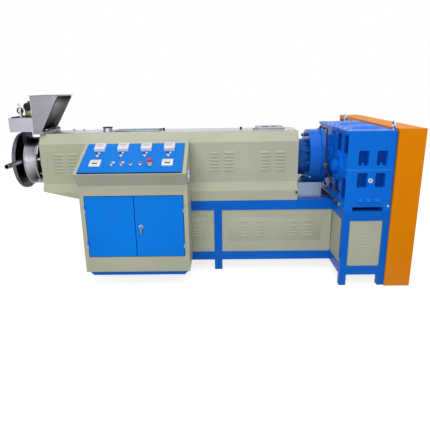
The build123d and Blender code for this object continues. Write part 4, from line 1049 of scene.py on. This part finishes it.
# lid on the feeder box, folded edges, seam, and the two bolted clamps at the hopper's foot
hopperTrim = dict(
    finishes=["sheetSteel", "darkSteel", "zinc"],
    blocks=[("darkSteel", (-2855, -150, 1415), (-2802, 150, 1424), 2.5),
            ("sheetSteel", (-2654, -186, 1297), (-2649, -184, 1592), 0.6),
            ("sheetSteel", (-2866, -186.5, 1295), (-2652, -184, 1299), 0.8),
            ("sheetSteel", (-2866, -186.5, 1411), (-2652, -184, 1415), 0.8)]
    + [("darkSteel", (-2565, y - 16, 1295), (-2537, y + 16, 1304), 2) for y in (-150, 150)],
    turned=[("zinc", [(0, 0), (9, 0), (9, 9), (7, 11), (0, 11)], (-2551, y, 1304), faceUp, 6)
            for y in (-150, 150)])
listedPiece("hopperTrim", hopperTrim)

# small gear motor on the feeder box: finned motor above, worm case below, spoked wheel behind a white strap
motorFront, wheelSpot, flangeSpot = (-2734, -76, 1506), (-2797, -86, 1474), (-2704, -62, 1454)
gearMotor = dict(
    finishes=["darkSteel", "white", "brass", "black", "zinc"],
    blocks=[("darkSteel", (-2800, -70, 1415), (-2668, 60, 1426), 3),  # foot plate
            ("white", (-2797, -94, 1415), (-2785, -87, 1541), 1.5),  # strap
            ("brass", (-2766, -62, 1424), (-2670, 50, 1484), 8),  # worm case
            ("darkSteel", (-2750, -14, 1536), (-2718, 24, 1552), 2.5),  # terminal box
            ("darkSteel", (-2751.5, -15.5, 1550.5), (-2716.5, 25.5, 1554), 1),  # its lid
            ("darkSteel", (-2805, -72, 1424), (-2789, -52, 1486), 3)],  # bearing block
    turned=[("darkSteel", [(0, 0), (28, 0), (34, 4), (36, 8), (36, 30), (32, 34), (30, 36), (30, 124),
                           (35, 126), (35, 140), (28, 146), (0, 146)], motorFront, faceBack, 36),
            ("brass", [(0, 0), (24, 0), (24, 5), (18, 8), (8, 8), (8, 12), (0, 12)],
             flangeSpot, faceFront, 28),
            ("brass", [(0, 0), (6, 0), (6, 6), (4, 8), (0, 8)], (-2684, 30, 1484), faceUp, 6),  # breather
            ("zinc", [(0, -1), (7, -1), (7, 6), (5, 7), (5, 12), (0, 12)],
             (-2718, 5, 1544), faceRight, 6),  # gland
            ("black", [(22, 0), (29, 0), (30, 2), (26.5, 5), (26.5, 9), (30, 12), (29, 14), (22, 14),
                       (22, 0)], wheelSpot, faceBack, 36),
            ("zinc", [(0, -3), (8, -3), (8, 15), (0, 15)], wheelSpot, faceBack, 20),
            ("zinc", [(0, 0), (9, 0), (11, 4), (11, 14), (0, 15)],
             (-2800, -76, 1528), faceFront, 20)]  # knob
    + [("darkSteel", [(r - 1.6, 1), (r - 1.6, -2), (r + 1.6, -2), (r + 1.6, 1), (r - 1.6, 1)],
        motorFront, faceBack, 36) for r in (9, 17, 25)]  # grille rings
    + [("zinc", [(0, 0), (3, 0), (3, 3), (0, 3.4)],
        facing(flangeSpot, faceFront) @ Vector((*spot, 5)), faceFront, 6)
       for spot in arcPoints(0, 0, 20, 0, 300, 5)],  # flange bolts
    spun=[("darkSteel", 18, (28, -1.2, 0), (34, 1.2, 86), (-2734, -40, 1506), faceBack, 0.4),  # fins
          ("darkSteel", 8, (4, -1.2, -1.5), (27, 1.2, 1), motorFront, faceBack, 0.3),  # grille bars
          ("black", 5, (6, -2.5, 4), (23, 2.5, 10), wheelSpot, faceBack, 0.8)])  # spokes
listedPiece("feederGearMotor", gearMotor, stands=("feeder_gear_motor",))

# rods across the gap behind the die, and the strap that holds the drum
dieGap = dict(rods=9, firstRod=math.radians(170), rodRing=196, rodLeft=-2652, rodSteps=12,
              rod=[(0, 0), (7, 0), (7, 16), (13, 16), (13, 28), (7, 28), (7, 48), (0, 48)],
              strap=(-2650, -2638), strapRadius=(216, 221), sweep=(22, 150), steps=36)


def addDieGap(s):
    bm = bmesh.new()
    for k, angle in enumerate(turns(s["rods"], s["firstRod"])):
        spot = (s["rodLeft"], s["rodRing"] * math.cos(angle), axisZ + s["rodRing"] * math.sin(angle))
        addTurned(bm, s["rod"], facing(spot, faceRight), s["rodSteps"], k % 2)
    (left, right), (inner, outer), (first, last) = s["strap"], s["strapRadius"], s["sweep"]
    loops = [[bm.verts.new((x, -r * dy, axisZ + r * dz))
              for x, r in ((left, inner), (right, inner), (right, outer), (left, outer))]
             for dy, dz in arcPoints(0, 0, 1, first, last - first, s["steps"])]
    bridge(bm, loops)
    bm.faces.new(loops[0])
    bm.faces.new(loops[-1][::-1])
    makePiece("dieStrapAndRods", bm, ["zinc", "brass"])


addDieGap(dieGap)
print("hood top, hopper and gear motor dressed")

# desk frame: u to the right along the plate, v up its slope, z out of it
deskPlane = dict(corner=(-2131, -724, 1012), slope=math.radians(24.05), inset=(0, 4, 12))
deskFrame = (Matrix.Translation(deskPlane["corner"]) @ Matrix.Rotation(deskPlane["slope"], 4, "X")
             @ Matrix.Translation(deskPlane["inset"]))
deskColumns = (120, 314, 508, 702)


def onDesk(u, v, lift=0):
    return deskFrame @ Matrix.Translation((u, v, lift))


# painted shade: dark edge strip round the instrument plate, for the plate's shaded folded edge
deskEdge = dict(width=822, depth=428, low=-12, high=-1, proud=1.2, lap=0.2, round=0.3)


def addDeskEdge(s):
    bm = bmesh.new()
    wide, deep, p, lap = s["width"], s["depth"], s["proud"], s["lap"]
    strips = (((-p, -p), (wide + p, lap)), ((-p, deep - lap), (wide + p, deep + p)),
              ((-p, lap), (lap, deep - lap)), ((wide - lap, lap), (wide + p, deep - lap)))
    for first, second in strips:
        addBlock(bm, (*first, s["low"]), (*second, s["high"]), deskFrame, s["round"])
    makePiece("deskEdgeStrip", bm, ["edgeShadeNavy"])


addDeskEdge(deskEdge)

# faces of the four controllers and two meters, from the top of each instrument
deskFaces = dict(
    finishes=["pale", "window", "white", "green", "red", "cream", "slotBlack", "black"],
    controllerV=349, controllerTop=28,
    controller=[("pale", (-34.5, -34.5, -0.1), (34.5, 34.5, 1.2), 0.5),
                ("window", (-27, 4, 1), (27, 27, 1.9), 0.4), ("window", (-27, -12, 1), (27, -1, 1.7), 0.4)]
    + [("white", (u, -28, 1), (u + 11, -20, 2.6), 1.0) for u in (-28, -13, 2, 17)],  # four keys
    lamp=[(0, 0), (1.8, 0), (1.6, 1), (0, 1.3)], lampSteps=10, lampU=-31, lampFoot=1,
    lamps=(("red", 8), ("green", 15), ("green", 22)),
    meterV=126, meterTop=9,
    meter=[("cream", (-38, 2, -0.1), (38, 38, 0.8), 0.4),
           ("slotBlack", (-22.7, -19.7, -3.1), (22.7, -0.3, -2), 0.3)],
    dial=(0, -4, 0.7), ticks=13, arc=(30, 150), arcRadius=33, longTick=6, shortTick=3.5,
    tickHalf=0.6, tickTall=0.4,
    needleAngle=math.radians(132), needle=((8, -0.7, 0.2), (31, 0.7, 1.0)), needleRound=0.2,
    screw=[(0, 0), (4, 0), (3.4, 1.2), (0, 1.4)], screwSteps=12,
    screwSpots=((-34, -34, -0.1), (34, -34, -0.1)))


def addDial(bm, s, at):
    black = s["finishes"].index("black")
    first, last = s["arc"]
    for k in range(s["ticks"]):
        angle = math.radians(first + (last - first) * k / (s["ticks"] - 1))
        reach = s["shortTick"] if k % 3 else s["longTick"]
        addBlock(bm, (s["arcRadius"] - reach, -s["tickHalf"], 0),
                 (s["arcRadius"], s["tickHalf"], s["tickTall"]),
                 at @ Matrix.Rotation(angle, 4, "Z"), 0, black)
    turn = Matrix.Rotation(s["needleAngle"], 4, "Z")
    addBlock(bm, *s["needle"], at @ turn, s["needleRound"], black)


def addDeskFaces(s):
    bm = bmesh.new()
    index = s["finishes"].index
    for u in deskColumns:
        at = onDesk(u, s["controllerV"], s["controllerTop"])
        for key, first, second, round in s["controller"]:
            addBlock(bm, first, second, at, round, index(key))
        for key, v in s["lamps"]:
            spot = Matrix.Translation((s["lampU"], v, s["lampFoot"]))
            addTurned(bm, s["lamp"], at @ spot, s["lampSteps"], index(key))
    for u in (deskColumns[0], deskColumns[-1]):
        at = onDesk(u, s["meterV"], s["meterTop"])
        for key, first, second, round in s["meter"]:
            addBlock(bm, first, second, at, round, index(key))
        addDial(bm, s, at @ Matrix.Translation(s["dial"]))
        for spot in s["screwSpots"]:
            addTurned(bm, s["screw"], at @ Matrix.Translation(spot), s["screwSteps"], index("white"))
    makePiece("deskFaces", bm, s["finishes"])


addDeskFaces(deskFaces)

# switches: upper row of knobs with a white flag, lower row of selectors and push buttons, stop button
deskSwitches = dict(knobV=222, rowV=100, row=(257, 334, 411, 488, 565), bezelSteps=28, steps=24,
                    bezel=[(0, 0), (15.5, 0), (15.5, 3), (14.5, 5), (14.5, 13), (13, 16), (11, 17),
                           (0, 17)],
                    body=[(0, 16), (11.5, 16), (11.5, 30), (10.5, 32), (0, 32)],
                    cap=[(0, 31), (11.4, 31), (11.4, 38), (8.5, 41.5), (0, 42)],
                    dome=[(0, 16), (11.5, 16), (11.5, 20), (8.5, 23.5), (0, 24.5)],
                    button=[(0, 16), (11, 16), (11, 23), (9, 25), (0, 25.5)],
                    knobFlag=((9, -5, 30), (27, 5, 40)), rowFlag=((6, -4.5, 18), (32, 4.5, 31)),
                    flagRound=1.5,
                    finishes=["chrome", "white", "black", "green", "red"])


def addDeskSwitches(s):
    bm = bmesh.new()
    chrome, white, black, green, red = range(len(s["finishes"]))
    for u in deskColumns:
        at = onDesk(u, s["knobV"])
        addTurned(bm, s["bezel"], at, s["bezelSteps"], chrome)
        addTurned(bm, s["body"], at, s["steps"], white)
        addTurned(bm, s["cap"], at, s["steps"], black)
        addBlock(bm, *s["knobFlag"], at, s["flagRound"], white)
    for k, (u, tone) in enumerate(zip(s["row"], (green, red, green, red))):
        at = onDesk(u, s["rowV"])
        selector = k < 2
        addTurned(bm, s["bezel"], at, s["bezelSteps"], chrome)
        addTurned(bm, s["dome"] if selector else s["button"], at, s["steps"], tone)
        if selector:
            addBlock(bm, *s["rowFlag"], at, s["flagRound"], white)
    makePiece("deskSwitches", bm, s["finishes"], stands=("desk_switches",))


addDeskSwitches(deskSwitches)

stopButton = dict(finishes=["chrome", "yellow", "red"],
                  shapes=(([(0, 0), (19, 0), (19, 8), (17, 10), (0, 10)], 32),
                          ([(0, 9), (17, 9), (17, 30), (14, 34), (0, 34)], 32),
                          ([(0, 33), (13, 33), (13, 38), (21, 40), (21, 47), (17.5, 53), (10, 56),
                            (0, 56.5)], 36)))


def addStopButton(s):
    bm = bmesh.new()
    at = onDesk(deskSwitches["row"][-1], deskSwitches["rowV"])
    for k, (outline, steps) in enumerate(s["shapes"]):
        addTurned(bm, outline, at, steps, k)
    makePiece("stopButton", bm, s["finishes"], stands=("stop_button",))


addStopButton(stopButton)

# cooling fan behind the guard in the desk's right side
sideFan = dict(centre=(-1279, -485, 943), blades=7, twist=math.radians(26), middle=15, sheet=1.6,
               shroud=[(57, 0), (62, 0), (62, 30), (57, 30), (57, 0)],
               hub=[(0, 4), (17, 4), (17, 28), (0, 28)], shroudSteps=40, hubSteps=24,
               blade=[(14, -8), (52, -13), (54, 0), (52, 13), (14, 9)],
               arms=3, armStart=0.4, arm=((15, -3, 25), (59, 3, 29)), armRound=0.6)


def addSideFan(s):
    bm = bmesh.new()
    at = facing(s["centre"], faceLeft)
    addTurned(bm, s["shroud"], at, s["shroudSteps"])
    addTurned(bm, s["hub"], at, s["hubSteps"])
    lean = Matrix.Translation((0, 0, s["middle"])) @ Matrix.Rotation(s["twist"], 4, "X")
    for angle in turns(s["blades"]):
        addPrism(bm, s["blade"], s["sheet"], at @ Matrix.Rotation(angle, 4, "Z") @ lean)
    addSpun(bm, s["arms"], *s["arm"], at, s["armRound"], start=s["armStart"])
    makePiece("sideFan", bm, ["black"])


addSideFan(sideFan)

# lever of the door lock with its hub; it turns with the lock
lockLever = dict(pivot=(-1670, 544), back=-636, front=-648, hub=9.5, hubSteps=12, tip=6.5, tipSteps=8,
                 length=47, round=2.2, capSteps=24,
                 cap=[(0, 0), (7, 0), (7, 1.6), (5.5, 2.4), (0, 2.4)])


def addLockLever(s):
    bm = bmesh.new()
    x, z = s["pivot"]
    outline = arcPoints(0, 0, s["hub"], 0, 180, s["hubSteps"])
    outline += arcPoints(0, -s["length"], s["tip"], 180, 180, s["tipSteps"])
    at = Matrix(((1, 0, 0, x), (0, 0, -1, s["back"]), (0, 1, 0, z), (0, 0, 0, 1)))
    front = addPrism(bm, outline, s["back"] - s["front"], at)
    bmesh.ops.bevel(bm, geom=list(front.edges), offset=s["round"], segments=2, profile=0.5, affect="EDGES")
    addTurned(bm, s["cap"], facing((x, s["front"], z), faceFront), s["capSteps"])
    makePiece("lockLever", bm, ["plateSteel"], body="lock", stands=("lock_handle",))


addLockLever(lockLever)
print("desk, fan and lock dressed")

# mounting plate with rails, modules and trunking, seen when the doors stand open
cabinetInside = dict(plate=((-2096, -283, 300), (-1344, -280, 790)), span=(-2060, -1380), plateFront=-283,
                     plateRound=1, rails=(690, 540, 395), railFront=-291, railHalf=17, railRound=1.5,
                     rows=(dict(z=690, deep=82, groups=((-2040, 46, 6), (-1700, 54, 5))),
                           dict(z=540, deep=76, groups=((-2040, 58, 4), (-1760, 36, 9))),
                           dict(z=395, deep=60, groups=((-2040, 90, 2), (-1810, 20, 20)))),
                     gap=2, half=38, round=2,
                     noseRound=1.5, noseMargin=4, noseReach=8, noseLap=1, noseHalf=18,
                     keyShare=(0.4, 0.6), keyReach=(12, 7), keyHalf=5,
                     trunks=(752, 615, 467, 325), trunkHalf=19, trunkDeep=42, trunkRound=1.2,
                     fingerPitch=15, finger=barSize(5, 34, 5))


def addMountingPlate(s):
    bm = bmesh.new()
    left, right = s["span"]
    half = s["railHalf"]
    addBlock(bm, *s["plate"], round=s["plateRound"])
    for z in s["rails"]:
        addBlock(bm, (left, s["railFront"], z - half), (right, s["plateFront"], z + half),
                 round=s["railRound"])
    makePiece("mountingPlate", bm, ["zinc"])


# one module on a rail: body, raised nose and a red key
def addModule(bm, s, x, width, z, deep, tone):
    back, front = s["railFront"], s["railFront"] - deep
    half, nose, key = s["half"], s["noseHalf"], s["keyHalf"]
    margin = s["noseMargin"]
    keyLeft, keyRight = (x + width * share for share in s["keyShare"])
    keyFront, keyBack = (front - reach for reach in s["keyReach"])
    addBlock(bm, (x, front, z - half), (x + width, back, z + half), round=s["round"], finishIndex=tone)
    addBlock(bm, (x + margin, front - s["noseReach"], z - nose),
             (x + width - margin, front + s["noseLap"], z + nose), round=s["noseRound"], finishIndex=1)
    addBlock(bm, (keyLeft, keyFront, z - key), (keyRight, keyBack, z + key), finishIndex=2)


def addModules(s):
    bm = bmesh.new()
    for row in s["rows"]:
        for start, width, count in row["groups"]:
            for k in range(count):
                x = start + k * (width + s["gap"])
                addModule(bm, s, x, width, row["z"], row["deep"], (k + count) % 2)
    makePiece("cabinetModules", bm, ["pale", "black", "red"])


def addTrunking(s):
    bm = bmesh.new()
    left, right = s["span"]
    back, half, pitch = s["plateFront"], s["trunkHalf"], s["fingerPitch"]
    front, middle = back - s["trunkDeep"], back - s["trunkDeep"] / 2
    fingers = []
    for z in s["trunks"]:
        addBlock(bm, (left, front, z - half), (right, back, z + half), round=s["trunkRound"])
        for k in range(1, int((right - left) / pitch)):
            x = left + k * pitch
            fingers.append(((x, middle, z + half), turnTo(faceUp)))
            fingers.append(((x, middle, z - half), turnTo(faceDown)))
    makePiece("cabinetTrunking", bm, ["pale"])
    repeatPiece("trunkingFingers", "bar", fingers, s["finger"], "pale")


addMountingPlate(cabinetInside)
addModules(cabinetInside)
addTrunking(cabinetInside)

# five wedge belts round both pulleys in place of the plain loop
motorY, motorZ = 735, 350
beltSet = dict(bigRadius=197, smallRadius=92, left=435, count=5, pitch=19.2,
               wide=17, narrow=11, inner=0.6, outer=13.0, steps=40)


def addBelts(s):
    bigRadius, smallRadius = s["bigRadius"], s["smallRadius"]
    gap = math.hypot(motorY - inputY, motorZ - splitZ)
    base = math.atan2(motorZ - splitZ, motorY - inputY)
    lean = math.acos((bigRadius - smallRadius) / gap)
    rounds = ((inputY, splitZ, bigRadius, base + lean, 2 * math.pi - 2 * lean),
              (motorY, motorZ, smallRadius, base - lean, 2 * lean))
    section = ((-s["narrow"] / 2, s["inner"]), (s["narrow"] / 2, s["inner"]),
               (s["wide"] / 2, s["outer"]), (-s["wide"] / 2, s["outer"]))
    bm = bmesh.new()
    for k in range(s["count"]):
        middle = s["left"] + s["pitch"] * k + s["wide"] / 2
        loops = []
        for y, z, radius, start, sweep in rounds:
            for n in range(s["steps"] + 1):
                angle = start + sweep * n / s["steps"]
                loops.append([bm.verts.new((middle + x, y + (radius + rise) * math.cos(angle),
                                            z + (radius + rise) * math.sin(angle))) for x, rise in section])
        bridge(bm, loops, closed=True)
    makePiece("wedgeBelts", bm, ["rubber"], stands=("drive_belt",))


addBelts(beltSet)

# motor: fan cowl grille and terminal box lid
cowlSpot = (-319, motorY, motorZ)
motorGrille = dict(
    finishes=["motorGrey", "black"],
    turned=[("black", [(0, -2), (172, -2), (172, 0.6), (0, 0.6)], cowlSpot, faceLeft, 48),
            ("motorGrey", [(0, 0), (26, 0), (26, 7), (0, 8)], cowlSpot, faceLeft, 24)]
    + [("motorGrey", [(r - 2.5, 0), (r - 2.5, 5), (r + 2.5, 5), (r + 2.5, 0)], cowlSpot, faceLeft, 48)
       for r in (40, 70, 100, 130, 160)],
    blocks=[("motorGrey", (-6, 668, 594), (128, 802, 604), 3)])
listedPiece("motorCowlGrille", motorGrille)
motorTrim = dict(bars=24, barRing=100, bar=barSize(126, 4, 4),
                 screwX=(6, 116), screwY=(680, 790), screwZ=604, screw=screwSize(6, 4))


def addMotorTrim(s):
    x, y, z = cowlSpot
    outward = Vector(faceLeft)
    bars = []
    for angle in turns(s["bars"]):
        out = Vector((0, math.cos(angle), math.sin(angle)))
        turn = Matrix((out, outward.cross(out), outward)).transposed().to_euler()
        bars.append(((x, y + s["barRing"] * out.y, z + s["barRing"] * out.z), tuple(turn)))
    repeatPiece("cowlBars", "bar", bars, s["bar"], "motorGrey")
    screws = [((sx, sy, s["screwZ"]), turnTo(faceUp)) for sx in s["screwX"] for sy in s["screwY"]]
    repeatPiece("motorLidScrews", "screw", screws, s["screw"], "zinc")


addMotorTrim(motorTrim)

# guard fixings: screws round the outer sheet and bolts on the flanges at the machine side
guardScrews = dict(right=592, columns=(-628, 1078), columnZ=range(60, 1290, 150), rows=(22, 1300),
                   rowY=range(-460, 960, 200), backY=1076, backZ=range(90, 1260, 145), topZ=1299,
                   topY=range(450, 1040, 115), screw=screwSize(8, 4.5), bolt=boltSize(8, 6, 11, 1.5))


def addGuardScrews(s):
    spots = [(y, z) for y in s["columns"] for z in s["columnZ"]]
    spots += [(y, z) for z in s["rows"] for y in s["rowY"]]
    points = [((s["right"], y, z), turnTo(faceRight)) for y, z in spots]
    repeatPiece("guardSheetScrews", "screw", points, s["screw"], "zinc")
    points = [((caseRight, s["backY"], z), turnTo(faceLeft, z)) for z in s["backZ"]]
    points += [((caseRight, y, s["topZ"]), turnTo(faceLeft, y)) for y in s["topY"]]
    repeatPiece("guardFlangeBolts", "bolt", points, s["bolt"], "zinc")


addGuardScrews(guardScrews)

# sight glass in the oil gauge
gaugeSpot = (190.5, -641, 916)
sightGlass = dict(
    finishes=["chrome", "oilGlass"],
    turned=[("chrome", [(12.5, -0.5), (19, -0.5), (19, 2), (17.5, 4), (14, 4), (12.5, 2), (12.5, -0.5)],
             gaugeSpot, faceFront, 36),
            ("oilGlass", [(0, -0.4), (12.4, -0.4), (12.4, 1.2), (8, 2.2), (0, 2.6)],
             gaugeSpot, faceFront, 36),
            ("chrome", [(0, 2), (4, 2), (4, 3.2), (0, 3.4)], gaugeSpot, faceFront, 18)])
listedPiece("oilSightGlass", sightGlass)

# rail with rubber pads along the gearbox foot
footRail = dict(
    finishes=["sheetSteel", "black"],
    blocks=[("sheetSteel", (-13, -505, 671), (0, 170, 700), 2)]
    + [("black", (-21, y, 675), (-11, y + 66, 695), 4) for y in range(-470, 91, 112)])
listedPiece("gearboxFootRail", footRail)

# valve with its lever and the filter bowl on the oil pipe
oilValve = dict(
    finishes=["brass", "black", "deepBlue"],
    turned=[("brass", [(0, -22), (13, -22), (13, -14), (17, -12), (17, 10), (13, 13), (13, 21), (0, 21)],
             (-87.5, -278, 985), faceUp, 6),
            ("brass", [(0, 0), (9, 0), (9, 14), (6, 15), (6, 24), (0, 24)],
             (-87.5, -290, 985), faceFront, 16),
            ("deepBlue", [(0, 0), (20, 0), (25, -5), (25, -42), (18, -54), (8, -58), (0, -58)],
             (-87.5, -278, 958), faceUp, 28)],
    blocks=[("black", (-121.5, -319, 980), (-77.5, -313, 990), 2)])
listedPiece("oilValveAndFilter", oilValve)
print("drive, guard and oil fittings dressed")
